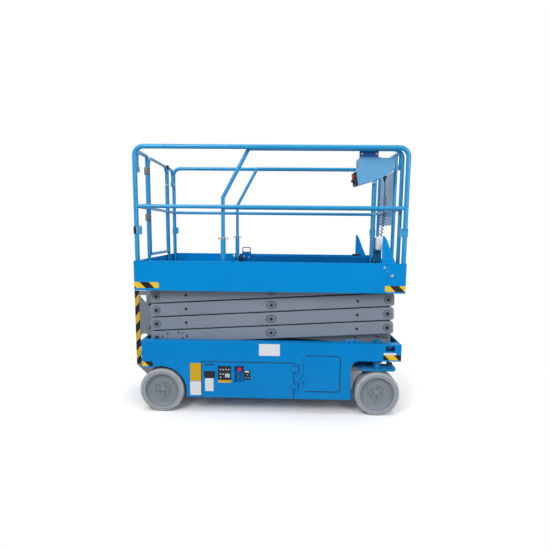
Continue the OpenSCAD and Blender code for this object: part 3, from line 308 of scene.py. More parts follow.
turned = add(enamel, "ShaderNodeVectorMath", {0: rounded, 1: facing},
             operation="DOT_PRODUCT").outputs["Value"]
edge_wear_and_glint = spread(enamel, noise(enamel, place, 42.0, 4.0, 0.7), 0.42, 0.62)
edge = sums(enamel, "MULTIPLY", spread(enamel, turned, 0.97, 0.80), edge_wear_and_glint)
edge = sums(enamel, "MULTIPLY", edge, given["Wear"], clamp=True)
pale = mixed(enamel, 0.35, given["Paint"], (0.62, 0.68, 0.72, 1))
worn = mixed(enamel, edge, dusted, pale)
# Painted shade: ambient occlusion darkens seams, corners, creases and gaps between parts towards near-black
# paint.
hidden = add(enamel, "ShaderNodeAmbientOcclusion", {"Distance": 0.022}, samples=6).outputs["AO"]
painted_shade = spread(enamel, hidden, 0.62, 0.12, 0.0, 0.92)
shade_tone = mixed(enamel, 0.06, (0.004, 0.005, 0.007, 1), given["Paint"])
put(enamel, out["Color"], mixed(enamel, painted_shade, worn, shade_tone))
sheen = spread(enamel, noise(enamel, place, 14.0, 3.0), 0.3, 0.7, -0.05, 0.07)
matt = sums(enamel, "ADD", sums(enamel, "MULTIPLY", dust, 0.4), sums(enamel, "MULTIPLY", edge, 0.15))
uneven = sums(enamel, "ADD", given["Gloss"], sheen)
put(enamel, out["Roughness"], sums(enamel, "ADD", uneven, matt, clamp=True))
put(enamel, out["Height"], noise(enamel, place, 260.0, 2.0))


def enamelled(name, paint, wear, dust_share, gloss, shine=0.06):
    """A material with the worn enamel, its painted shade and its painted edge highlight, in one colour."""
    return coated(name, enamel, {"Paint": (*paint, 1), "Wear": wear, "Dust": dust_share, "Gloss": gloss},
                  (0.08, 0.0006), Specular_IOR_Level=shine)


def paint_part(material, label, axis, edge, before, beyond):
    """Gives a material a second colour beyond a place on an axis, through its cover's colour input."""
    half_line = 0.0004
    tree = material.node_tree
    cover = next(n for n in tree.nodes if n.bl_idname == "ShaderNodeGroup")
    place = next(n for n in tree.nodes if n.bl_idname == "ShaderNodeTexCoord").outputs["Object"]
    along = add(tree, "ShaderNodeSeparateXYZ", {0: place}).outputs[axis]
    share = spread(tree, along, edge - half_line, edge + half_line)
    put(tree, cover.inputs[label], mixed(tree, share, (*before, 1), (*beyond, 1)))


def dress(material, *nodes):
    """Gives CAD nodes their finish."""
    for name in nodes:
        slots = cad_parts[name].data.materials
        slots.clear()
        slots.append(material)


def soften(bm, edges, width, segments=2):
    """Rounds edges over."""
    if width > 0:
        bmesh.ops.bevel(bm, geom=list(edges), offset=width, offset_type="OFFSET", segments=segments,
                        profile=0.5, affect="EDGES", material=-1)


def slab(bm, low, high, edge=0.0, turn=Matrix()):
    """A block between two corners with rounded edges, turned about its own middle."""
    low, high = Vector(low), Vector(high)
    size = [abs(b - a) for a, b in zip(low, high)]
    made = bmesh.ops.create_cube(bm, size=1.0, matrix=(
        Matrix.Translation((low + high) / 2) @ turn @ Matrix.Diagonal((*size, 1.0))))
    soften(bm, {e for v in made["verts"] for e in v.link_edges}, edge)


def panel(bm, x0, x1, z0, z1, back, front, corner):
    """An upright plate on a side of the machine, with rounded corners."""
    made = bmesh.ops.create_cube(bm, size=1.0, matrix=(
        Matrix.Translation(((x0 + x1) / 2, (back + front) / 2, (z0 + z1) / 2))
        @ Matrix.Diagonal((x1 - x0, abs(front - back), z1 - z0, 1.0))))
    edges = {e for v in made["verts"] for e in v.link_edges}
    soften(bm, [e for e in edges if e.verts[0].co.y != e.verts[1].co.y], corner, 4)


def rod(bm, start, end, d, sides=20, edge=0.0, taper=1.0):
    """A round or many-sided bar between two points, with softened rims."""
    start, end = Vector(start), Vector(end)
    turn = (end - start).to_track_quat("Z", "Y").to_matrix().to_4x4()
    made = bmesh.ops.create_cone(bm, cap_ends=True, segments=sides, radius1=d / 2, radius2=d / 2 * taper,
                                 depth=(end - start).length,
                                 matrix=Matrix.Translation((start + end) / 2) @ turn)
    edges = {e for v in made["verts"] for e in v.link_edges}
    soften(bm, [e for e in edges if any(len(f.verts) == sides for f in e.link_faces)], edge)


def bolt(bm, spot, out, d, h):
    """A hexagon bolt head on its washer; out is the way it stands off the surface."""
    spot, out = Vector(spot), Vector(out)
    rod(bm, spot - out * h * 0.2, spot + out * h * 0.35, d * 1.45, 24, h * 0.1)
    rod(bm, spot, spot + out * h, d * 1.1, 6, h * 0.12)


def piece(name, bm, materials, body):
    """Makes a finished bmesh an object at the origin, which rides on a body."""
    bmesh.ops.recalc_face_normals(bm, faces=bm.faces[:])
    mesh = bpy.data.meshes.new(name)
    bm.to_mesh(mesh)
    bm.free()
    for material in materials:
        mesh.materials.append(material)
    mesh.shade_smooth()
    mesh.set_sharp_from_angle(angle=math.radians(35))
    made = bpy.data.objects.new(name, mesh)
    bpy.context.scene.collection.objects.link(made)
    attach(made, body)


def single(name, material, body, slot, shape, *sizes, **options):
    """A piece of one shape: the function that draws it, and what that function is given."""
    bm = bmesh.new()
    shape(bm, *sizes, **options)
    piece(name, bm, [material], body)


machine_blue = (0.0002, 0.212, 0.560)
frame_blue = (0.001, 0.130, 0.330)
chassis_enamel = enamelled("chassis_enamel", machine_blue, 0.25, 0.07, 0.36)
frame_enamel = enamelled("frame_enamel", frame_blue, 0.4, 0.35, 0.42)
dress(chassis_enamel, "chassis_sides", "chassis_flanges", "chassis_ends")
dress(frame_enamel, "chassis_rails", "chassis_bulkheads", "chassis_deck", "kingpin_beam")

plated, given, out, place = shared("plated_steel", Metal=(0.6, 0.6, 0.6, 1), Tarnish=0.3)
spots = spread(plated, noise(plated, place, 160.0, 5.0, 0.7), 0.40, 0.72)
dull = sums(plated, "MULTIPLY", spots, given["Tarnish"], clamp=True)
put(plated, out["Color"], mixed(plated, dull, given["Metal"], (0.16, 0.15, 0.13, 1)))
put(plated, out["Roughness"], sums(plated, "ADD", sums(plated, "MULTIPLY", dull, 0.3), 0.36))
put(plated, out["Height"], noise(plated, place, 700.0, 2.0))


def steel(name, metal, tarnish):
    """A material of plated or blacked steel."""
    return coated(name, plated, {"Metal": (*metal, 1), "Tarnish": tarnish}, (0.1, 0.0003), Metallic=1.0)


zinc = steel("zinc_plate", (0.36, 0.37, 0.38), 0.5)
blacked = enamelled("blacked_bolt", (0.016, 0.018, 0.022), 0.3, 0.0, 0.40, 0.25)

film, given, out, place = shared("scuffed_film", Ink=(0.8, 0.8, 0.8, 1), Scuff=0.3)
scratch = add(film, "ShaderNodeMapping", {"Vector": place, "Rotation": (0.0, 0.5, 0.0),
                                          "Scale": (240.0, 60.0, 22.0)}).outputs[0]
marks = spread(film, noise(film, scratch, 1.0, 4.0, 0.65), 0.60, 0.84)
marks = sums(film, "MULTIPLY", marks, given["Scuff"], clamp=True)
faded = mixed(film, spread(film, noise(film, place, 9.0, 3.0), 0.3, 0.7, 0.0, 0.05), given["Ink"],
              (0.45, 0.45, 0.43, 1))
put(film, out["Color"], mixed(film, marks, faded, (0.33, 0.33, 0.32, 1)))
put(film, out["Roughness"], sums(film, "ADD", sums(film, "MULTIPLY", marks, 0.3), 0.38))
put(film, out["Height"], noise(film, place, 420.0, 2.0))


def printed(name, ink, scuff=0.3):
    """A material of printed vinyl film or a painted blank plate."""
    return coated(name, film, {"Ink": (*ink, 1), "Scuff": scuff}, (0.06, 0.0004), Specular_IOR_Level=0.12)


tape_black = printed("tape_black", (0.006, 0.006, 0.007), 0.15)
tape_yellow = printed("tape_yellow", (0.74, 0.475, 0.020), 0.2)
plate_yellow = printed("plate_yellow", (0.60, 0.360, 0.003), 0.15)
plate_white = printed("plate_white", (0.70, 0.70, 0.74), 0.15)


def hazard_tape(name, x0, x1, z0, z1, face, first, band, slope, body):
    """Warning tape on both sides, cut into slanting bands: black from first, then yellow, and so on."""
    bm = bmesh.new()
    for side in (-1, 1):
        slab(bm, (x0, side * (face - tape_sink), z0), (x1, side * (face + tape_t), z1))
    levels = [v.co.z + slope * v.co.x for v in bm.verts]
    count = math.floor((min(levels) - first) / band) + 1
    while first + count * band < max(levels):
        bmesh.ops.bisect_plane(bm, geom=bm.verts[:] + bm.edges[:] + bm.faces[:],
                               plane_co=(0.0, 0.0, first + count * band), plane_no=(slope, 0.0, 1.0))
        count += 1
    for f in bm.faces:
        middle = f.calc_center_median()
        f.material_index = math.floor((middle.z + slope * middle.x - first) / band) % 2
    piece(name, bm, [tape_black, tape_yellow], body)


side_face = 0.575
tape_sink, tape_t, plate_t, plate_corner = 0.0004, 0.0007, 0.0008, 0.003
hazard_tape("chassis_tape_rear", -0.998, -0.907, 0.403, 0.447, side_face, -0.535, 0.077, 1.0,
            "chassis")
hazard_tape("chassis_tape_front", 1.057, 1.205, 0.494, 0.538, side_face, 1.680, 0.077, 1.0,
            "chassis")

for name, material, x0, x1, z0, z1 in [
    ("side_plate_yellow", plate_yellow, -0.585, -0.490, 0.281, 0.439),
    ("side_plate_white", plate_white, -0.587, -0.490, 0.154, 0.276),
    ("centre_plate", plate_white, 0.006, 0.183, 0.514, 0.616),
    ("front_plate", plate_white, 1.059, 1.165, 0.5385, 0.556),
]:
    single(name, material, "chassis", "chassis_paint", panel, x0, x1, z0, z1,
           -side_face + tape_sink, -side_face - plate_t, plate_corner)

# Chassis fittings: a dark lamp lens in each front recess, set on a near-black sheet of painted shade,
# the saddle's bar and bolt, and rivets beside the access doors. They are moulded, or steel under the
# chassis paint, and pushed into the plate.
moulded, given, out, place = shared("moulded_grain", Tint=(0.1, 0.1, 0.1, 1), Gloss=0.45)
patch = spread(moulded, noise(moulded, place, 30.0, 4.0, 0.6), 0.35, 0.75, 0.0, 0.12)
bloom = mixed(moulded, 0.4, given["Tint"], (0.4, 0.4, 0.4, 1))
put(moulded, out["Color"], mixed(moulded, patch, given["Tint"], bloom))
matt = sums(moulded, "MULTIPLY", patch, 0.5)
put(moulded, out["Roughness"], sums(moulded, "ADD", matt, given["Gloss"], clamp=True))
put(moulded, out["Height"], noise(moulded, place, 950.0, 2.0))


def plastic(name, tint, gloss=0.42):
    """A material of moulded plastic with a fine grain."""
    return coated(name, moulded, {"Tint": (*tint, 1), "Gloss": gloss}, (0.12, 0.0003), Specular_IOR_Level=0.2)


black_plastic = plastic("black_plastic", (0.008, 0.008, 0.010))
pale_plastic = plastic("pale_plastic", (0.46, 0.50, 0.55), 0.35)
red_plastic = plastic("red_plastic", (0.62, 0.012, 0.016), 0.3)
white_plastic = plastic("white_plastic", (0.78, 0.78, 0.79), 0.38)


def lathe(bm, outline, centre, axis, sides=40, ring=False):
    """Spins an outline of (radius, height) pairs round an axis, and closes its seams and poles."""
    axis, centre = Vector(axis).normalized(), Vector(centre)
    outward = axis.orthogonal().normalized()
    points = [bm.verts.new(centre + outward * r + axis * h) for r, h in outline]
    pairs = list(zip(points, points[1:])) + ([(points[-1], points[0])] if ring else [])
    edges = [bm.edges.new(pair) for pair in pairs]
    bmesh.ops.spin(bm, geom=points + edges, cent=centre, axis=axis, angle=2 * math.pi, steps=sides,
                   use_merge=True, use_duplicate=False)
    bmesh.ops.remove_doubles(bm, verts=bm.verts[:], dist=1e-6)


recess_back, panel_sunk = 0.530, 0.0006
# Painted shade: a near-black sheet over the back of each front recess, where the recess lies in shade.
recess_shade_plastic = plastic("recess_shade_plastic", (0.005, 0.014, 0.040), 0.5)
lens_plastic = plastic("lens_plastic", (0.030, 0.095, 0.210), 0.25)
lenses, shade_sheets = bmesh.new(), bmesh.new()
for side in (-1, 1):
    back = side * recess_back
    slab(lenses, (1.088, back - side * 0.001, 0.580), (1.142, back + side * 0.016, 0.604), 0.009)
    panel(shade_sheets, 1.0765, 1.1495, 0.569, 0.615, back - side * panel_sunk, back + side * 0.0012, 0.004)
piece("front_recess_shade_sheets", shade_sheets, [recess_shade_plastic], "chassis")
piece("front_lamp_lenses", lenses, [lens_plastic], "chassis")


def rivet(bm, x, z, face, d, proud, edge=0.001, sides=16, sunk=0.001):
    """A round or many-sided head on an upright face; the sign of face says which side of the machine."""
    outward = math.copysign(1.0, face)
    rod(bm, (x, face - outward * sunk, z), (x, face + outward * proud, z), d, sides, edge)


saddle_x, saddle_y, saddle_z, saddle_half = 0.793, 0.538, 0.644, 0.045
hinge_rivet_z, hinge_rivet_d, hinge_rivet_h = (0.294, 0.347), 0.011, 0.002
bm = bmesh.new()
for side in (-1, 1):
    y = side * saddle_y
    rod(bm, (saddle_x - saddle_half, y, saddle_z), (saddle_x + saddle_half, y, saddle_z), 0.010, 16, 0.001)
    bolt(bm, (saddle_x, y, saddle_z - 0.012), (0, 0, 1), 0.016, 0.010)
    for z in hinge_rivet_z:
        rivet(bm, 0.352, z, side * side_face, hinge_rivet_d, hinge_rivet_h)
    rivet(bm, 0.7065, 0.328, side * side_face, 0.012, 0.003)
piece("chassis_bolts", bm, [chassis_enamel], "chassis")

# Rear ladder: two flat steel stringers with box treads between them, in grey enamel, bolted to the chassis.
# Warning tape runs up the outer face of each stringer, and the treads have a punched grip.
ladder_enamel = enamelled("ladder_enamel", (0.225, 0.250, 0.285), 0.5, 0.25, 0.45)
dress(ladder_enamel, "ladder")
stringer_face = 0.152
hazard_tape("ladder_tape", -1.2145, -1.1725, 0.272, 0.990, stringer_face, 2.452, 0.0855, -1.27,
            "chassis")
bm = bmesh.new()
for side in (-1, 1):
    for z in (0.379, 0.590):
        for x in (-1.125, -1.035):
            bolt(bm, (x, side * stringer_face, z), (0, side, 0), 0.013, 0.006)
piece("ladder_bolts", bm, [zinc], "chassis")
treads, tread_t, tread_low, ladder_h = 4, 0.030, 0.264, 0.727
grip_x, grip_row, grip_y, grip_gap = -1.204, 0.021, -0.120, 0.030
grip = [(0.0060, -0.0003), (0.0060, 0.0008), (0.0045, 0.0018), (0.0032, 0.0018), (0.0032, -0.0003)]
bm = bmesh.new()
for i in range(treads):
    top = tread_low + tread_t + i * (ladder_h - tread_t) / treads
    for row in range(2):
        for n in range(9):
            spot = (grip_x + row * grip_row, grip_y + n * grip_gap, top)
            lathe(bm, grip, spot, (0, 0, 1), 10, ring=True)
piece("tread_grips", bm, [ladder_enamel], "chassis")

# Trays and access doors: pressed steel doors in the chassis blue, hung on knuckle hinges. Black tubes along
# the door gaps, looping round the hinge knuckles, are painted shade of the gaps and the hinge notches.
# The right tray has the ground controls: a panel, a key switch, a stop button and a gauge.
tray_enamel = enamelled("tray_enamel", machine_blue, 0.25, 0.07, 0.36)
dress(tray_enamel, "tray_right", "tray_left", "access_door_right", "access_door_left")
dress(plastic("power_unit_case", (0.035, 0.037, 0.040), 0.5), "power_unit")
dress(plastic("battery_case", (0.020, 0.020, 0.023), 0.55), "batteries")


def tray_plate(name, material, x0, x1, z0, z1, proud, corner, body="tray_right", side=-1):
    """A flat piece on a tray's outer face."""
    single(name, material, body, "control_case", panel, x0, x1, z0, z1,
           side * (side_face - panel_sunk), side * (side_face + proud), corner)


def tube(bm, points, d, sides=12):
    """A bent tube through points: a disc pushed from point to point and turned to face along the bend."""
    points = [Vector(p) for p in points]
    ways = [(b - a).normalized() for a, b in zip(points, points[1:])]
    ways = [ways[0]] + [(a + b).normalized() for a, b in zip(ways, ways[1:])] + [ways[-1]]
    start = Matrix.Translation(points[0]) @ ways[0].to_track_quat("Z", "Y").to_matrix().to_4x4()
    made = bmesh.ops.create_circle(bm, cap_ends=True, segments=sides, radius=d / 2, matrix=start)
    cap = made["verts"][0].link_faces[0]
    for i in range(1, len(points)):
        grown = bmesh.ops.extrude_face_region(bm, geom=[cap, *cap.edges[:]])
        cap = next(g for g in grown["geom"] if isinstance(g, bmesh.types.BMFace) and len(g.verts) == sides)
        turn = ways[i - 1].rotation_difference(ways[i]).to_matrix().to_4x4()
        bmesh.ops.transform(bm, verts=cap.verts[:], matrix=(
            Matrix.Translation(points[i]) @ turn @ Matrix.Translation(-points[i - 1])))


def quarter(x, y, z, r, first):
    """Seven points of a quarter turn round (x, z), clockwise from an angle in degrees."""
    angles = [math.radians(first - 15 * step) for step in range(7)]
    return [(x + r * math.cos(angle), y, z + r * math.sin(angle)) for angle in angles]


# Painted shade: a black tube traced along each door gap and looped round the hinge notches.
gap_shade_d, gap_shade_out = 0.005, 0.002
tray_x, tray_front_x, tray_z, tray_top_z = -0.487, 0.304, 0.138, 0.453
tray_hinge_z, notch_shade_x, notch_shade_half = (0.2484, 0.3996), 0.3475, 0.0375
access_x, access_front_x, access_z, access_top_z, access_r = 0.384, 0.696, 0.204, 0.519, 0.028
bm = bmesh.new()
for side in (-1, 1):
    y = side * (side_face - 0.0005)
    tube(bm, [(tray_x - gap_shade_out, y, tray_z), (tray_x - gap_shade_out, y, tray_top_z + gap_shade_out),
              (tray_front_x, y, tray_top_z + gap_shade_out)], gap_shade_d, 8)
    edge_x = tray_front_x + gap_shade_out
    line = [(edge_x, y, tray_z)]
    for z in tray_hinge_z:
        for x, way in ((edge_x, -1), (notch_shade_x, -1), (notch_shade_x, 1), (edge_x, 1)):
            line.append((x, y, z + way * notch_shade_half))
    tube(bm, line + [(edge_x, y, tray_top_z)], gap_shade_d, 8)
    line = [(access_x + access_r, y, access_top_z + gap_shade_out)]
    for z, first in ((access_top_z - access_r, 90), (access_z + access_r, 0)):
        line += quarter(access_front_x - access_r, y, z, access_r + gap_shade_out, first)
    tube(bm, line + [(access_x + access_r, y, access_z - gap_shade_out)], gap_shade_d, 8)
piece("door_gap_shade", bm, [black_plastic], "chassis")

for side, body in ((-1, "tray_right"), (1, "tray_left")):
    tray_plate(f"{body}_latch_slot", black_plastic, -0.460, -0.379, 0.4235, 0.4325, 0.0006, 0.0042,
               body, side)
    bm = bmesh.new()
    for x in (-0.033, 0.168):
        bolt(bm, (x, side * side_face, 0.405), (0, side, 0), 0.008, 0.003)
    rivet(bm, -0.474, 0.428, side * side_face, 0.007, 0.001, 0.0005)
    piece(f"{body}_bolts", bm, [tray_enamel], body)

bm = bmesh.new()
panel(bm, -0.465, -0.371, 0.309, 0.370, -side_face + panel_sunk, -side_face - 0.002, 0.005)
for z0, z1, proud, edge in ((0.344, 0.364, 0.006, 0.003), (0.315, 0.338, 0.003, 0.0012)):
    slab(bm, (-0.459, -side_face - 0.0005, z0), (-0.377, -side_face - proud, z1), edge)
piece("tray_latch", bm, [black_plastic], "tray_right")
desk_x, desk_front_x, desk_z, desk_top_z, desk_rim = -0.345, -0.233, 0.296, 0.417, 0.006
tray_plate("tray_label", plate_white, -0.457, -0.385, 0.192, 0.306, plate_t, plate_corner)
tray_plate("tray_strip", plate_yellow, desk_x, desk_front_x, 0.269, 0.293, plate_t, 0.002)

bm = bmesh.new()
panel(bm, desk_x, desk_front_x, desk_z, desk_top_z, -side_face + panel_sunk, -side_face - 0.003, 0.006)
for x0, x1, z0, z1 in ((desk_x, desk_front_x, desk_top_z - desk_rim, desk_top_z),
                       (desk_x, desk_front_x, desk_z, desk_z + desk_rim),
                       (desk_x, desk_x + desk_rim, desk_z, desk_top_z),
                       (desk_front_x - desk_rim, desk_front_x, desk_z, desk_top_z)):
    slab(bm, (x0, -side_face - 0.002, z0), (x1, -side_face - 0.0048, z1), 0.0012)
piece("ground_panel", bm, [black_plastic], "tray_right")
bm = bmesh.new()
for x, z in ((-0.3235, 0.387), (-0.2994, 0.387), (-0.2762, 0.387), (-0.2521, 0.387),
             (-0.3235, 0.347), (-0.2994, 0.347), (-0.3235, 0.318)):
    lathe(bm, [(0.0, 0.0036), (0.0045, 0.0033), (0.0062, 0.0022), (0.0066, 0.0), (0.0, 0.0)],
          (x, -side_face - 0.0028, z), (0, -1, 0), 20)
panel(bm, -0.284, -0.243, 0.318, 0.352, -side_face - 0.0024, -side_face - 0.0042, 0.003)
piece("ground_buttons", bm, [pale_plastic], "tray_right")
stop_spot, key_spot = (-0.162, -recess_back, 0.382), (-0.171, -recess_back, 0.318)
stop_button = [(0.0, 0.030), (0.012, 0.0292), (0.0185, 0.0262), (0.0205, 0.0215), (0.0190, 0.0175),
               (0.0115, 0.0155), (0.0110, 0.0), (0.0, 0.0)]
single("ground_stop_button", red_plastic, "tray_right", "control_case", lathe, stop_button,
       stop_spot, (0, -1, 0))
bm = bmesh.new()
lathe(bm, [(0.0, 0.006), (0.0125, 0.006), (0.0150, 0.004), (0.0155, 0.0), (0.0, 0.0)],
      stop_spot, (0, -1, 0))
lathe(bm, [(0.0, 0.009), (0.0100, 0.009), (0.0130, 0.006), (0.0140, 0.0), (0.0, 0.0)],
      key_spot, (0, -1, 0))
piece("switch_collars", bm, [black_plastic], "tray_right")
bm = bmesh.new()
lathe(bm, [(0.0, 0.013), (0.0070, 0.013), (0.0085, 0.0115), (0.0085, 0.0), (0.0, 0.0)],
      key_spot, (0, -1, 0))
slab(bm, (-0.1725, -recess_back - 0.012, 0.309), (-0.1695, -recess_back - 0.031, 0.327), 0.0010)
piece("key_switch", bm, [zinc], "tray_right")
tray_plate("gauge_body", black_plastic, -0.120, -0.070, 0.299, 0.383, 0.004, 0.009)
bm = bmesh.new()
panel(bm, -0.113, -0.079, 0.366, 0.378, -side_face - 0.003, -side_face - 0.0048, 0.002)
for x, z in ((-0.105, 0.320), (-0.085, 0.318), (-0.092, 0.345)):
    lathe(bm, [(0.0, 0.0026), (0.0032, 0.0020), (0.0040, 0.0), (0.0, 0.0)],
          (x, -side_face - 0.0036, z), (0, -1, 0), 16)
piece("gauge_window", bm, [white_plastic], "tray_right")

lock_x, lock_z, lock_slot_w, lock_slot_h = 0.676, 0.362, 0.0026, 0.014
lock_barrel = [(0.0, 0.0016), (0.0085, 0.0016), (0.0100, 0.0008), (0.0100, -0.001), (0.0, -0.001)]
for side, body in ((-1, "access_door_right"), (1, "access_door_left")):
    bm = bmesh.new()
    for z in hinge_rivet_z:
        rivet(bm, 0.411, z, side * side_face, hinge_rivet_d, hinge_rivet_h)
    piece(f"{body}_rivets", bm, [tray_enamel], body)
    bm = bmesh.new()
    lathe(bm, lock_barrel, (lock_x, side * side_face, lock_z), (0, side, 0), 28)
    slab(bm, (lock_x - lock_slot_w / 2, side * (side_face + 0.0012), lock_z - lock_slot_h / 2),
         (lock_x + lock_slot_w / 2, side * (side_face + 0.0026), lock_z + lock_slot_h / 2), 0.0006)
    piece(f"{body}_lock", bm, [tray_enamel], body)

# Running gear: solid grey non-marking tyres pressed on dished steel discs, steered yokes and a tie rod.
# Each disc has a raised hub ring, pressed hooked ribs, a hub cap and a ring of nuts.
rubber, given, out, place = shared("aged_rubber", Tint=(0.2, 0.2, 0.2, 1), Axle=(0.0, 0.0, 0.0))
reach = add(rubber, "ShaderNodeVectorMath", {0: place, 1: given["Axle"]}, operation="SUBTRACT").outputs[0]
reach = add(rubber, "ShaderNodeVectorMath", {0: reach, 1: (1.0, 0.0, 1.0)}, operation="MULTIPLY").outputs[0]
radius = add(rubber, "ShaderNodeVectorMath", {0: reach}, operation="LENGTH").outputs["Value"]
cloud = noise(rubber, place, 34.0, 5.0, 0.65)
patchy = spread(rubber, cloud, 0.3, 0.7, 0.3, 0.9)
tread_edge_r, tyre_r, mould_line_r = 0.178, 0.190, 0.1660
# Darker patches towards the tread: partly dirt and partly painted shade.
tread_dirt_and_shade = sums(rubber, "MULTIPLY", spread(rubber, radius, tread_edge_r, tyre_r), patchy)
# Painted shade: a dark line at the mould-line groove, in place of the groove's own shade.
off_line = sums(rubber, "ABSOLUTE", sums(rubber, "SUBTRACT", radius, mould_line_r))
groove_shade = spread(rubber, off_line, 0.0045, 0.001, 0.0, 0.55)
worn = mixed(rubber, spread(rubber, cloud, 0.35, 0.70, 0.0, 0.45), given["Tint"], (0.25, 0.26, 0.27, 1))
worn = mixed(rubber, sums(rubber, "MULTIPLY", tread_dirt_and_shade, 0.45), worn, (0.12, 0.12, 0.12, 1))
put(rubber, out["Color"], mixed(rubber, groove_shade, worn, (0.04, 0.04, 0.045, 1)))
put(rubber, out["Roughness"], spread(rubber, cloud, 0.3, 0.7, 0.62, 0.82))
put(rubber, out["Height"], noise(rubber, place, 420.0, 3.0))

dress(frame_enamel, "rear_axle")
yoke_enamel = enamelled("yoke_enamel", (0.0005, 0.180, 0.450), 0.5, 0.3, 0.38)
dress(yoke_enamel, "yoke_right", "yoke_left")
dress(enamelled("tie_rod_enamel", (0.003, 0.055, 0.160), 0.6, 0.3, 0.42), "tie_rod")
disc_enamel = enamelled("disc_enamel", (0.225, 0.256, 0.288), 0.3, 0.1, 0.5)
nut_steel = steel("nut_steel", (0.30, 0.31, 0.33), 0.4)
axle_z, dish_face, nuts, nut_ring = 0.1905, 0.5435, 5, 0.042
rib_in, rib_run, rib_d, rib_bend = 0.071, 0.033, 0.0095, 5
hub_ring = [(0.0660, -0.001), (0.0655, 0.0030), (0.0640, 0.0042), (0.0600, 0.0042), (0.0580, 0.0028),
            (0.0570, -0.001)]
hub_cap = [(0.0, 0.0105), (0.0150, 0.0100), (0.0235, 0.0080), (0.0275, 0.0045), (0.0285, -0.001),
           (0.0, -0.001)]
for axle, axle_x in (("front", 1.018), ("rear", -0.832)):
    tyre_values = {"Tint": (0.395, 0.430, 0.462, 1), "Axle": (axle_x, 0.0, axle_z)}
    tyre_rubber = coated(f"tyre_rubber_{axle}", rubber, tyre_values, (0.25, 0.0008), Specular_IOR_Level=0.25)
    for hand, side in (("right", -1), ("left", 1)):
        wheel = f"{axle}_{hand}"
        dress(tyre_rubber, f"tyre_{wheel}")
        dress(disc_enamel, f"disc_{wheel}")
        middle = Vector((axle_x, side * dish_face, axle_z))
        out_way = Vector((0, side, 0))
        bm = bmesh.new()
        lathe(bm, hub_ring, middle, out_way, 56, ring=True)
        lathe(bm, hub_cap, middle, out_way, 40)
        for hook in range(3):
            line = []
            for step in range(15):
                angle = math.radians(30 + 120 * hook + max(0, step - rib_bend) * 5.5)
                far_out = rib_in + rib_run * max(0.0, 1 - step / rib_bend)
                line.append(middle + Vector((-side * math.cos(angle), 0.0, math.sin(angle))) * far_out)
            tube(bm, line, rib_d, 10)
        piece(f"hub_{wheel}", bm, [disc_enamel], f"wheel_{wheel}")
        bm = bmesh.new()
        for n in range(nuts):
            angle = 2 * math.pi * n / nuts
            spot = middle + Vector((math.cos(angle), 0.0, math.sin(angle))) * nut_ring
            rod(bm, spot - out_way * 0.004, spot + out_way * 0.0110, 0.0200, 6, 0.0012)
            rod(bm, spot, spot + out_way * 0.0150, 0.0110, 14, 0.0008)
        piece(f"nuts_{wheel}", bm, [nut_steel], f"wheel_{wheel}")

yoke_top = 0.410
for hand, side in (("right", -1), ("left", 1)):
    bm = bmesh.new()
    for x, y in ((0.905, 0.470), (0.905, 0.540), (1.075, 0.545)):
        bolt(bm, (x, side * y, yoke_top), (0, 0, 1), 0.016, 0.009)
    piece(f"yoke_bolts_{hand}", bm, [yoke_enamel], f"yoke_{hand}")

# Scissor stack: rectangular steel arms in grey enamel on darker pins. End pins have a flanged head with a
# bolt in the middle, the middle pins a keeper plate; the lowest arms have bolted end plates, the holes plugs.
# Near-black rings round the pin heads and outlines round the keeper plates are painted shade.
arm_enamel = enamelled("arm_enamel", (0.205, 0.240, 0.290), 0.3, 0.2, 0.46)
levels, arm_kinds = range(1, 5), ("outer_arms", "inner_arms", "inner_tubes")
dress(arm_enamel, *[f"{kind}_{k}" for kind in arm_kinds for k in levels])
pin_enamel = enamelled("pin_enamel", (0.175, 0.205, 0.245), 0.5, 0.1, 0.40)
dress(pin_enamel, *[f"outer_pins_{k}" for k in levels])
dress(enamelled("barrel_enamel", (0.02, 0.021, 0.024), 0.6, 0.1, 0.36), "lift_barrel")
chrome, eye_black, eye_reach = (0.50, 0.51, 0.53), (0.012, 0.013, 0.015), 0.093
rod_chrome = steel("rod_chrome", chrome, 0.12)
paint_part(rod_chrome, "Metal", "X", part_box("lift_rod")[1][0] - eye_reach, chrome, eye_black)
dress(rod_chrome, "lift_rod")

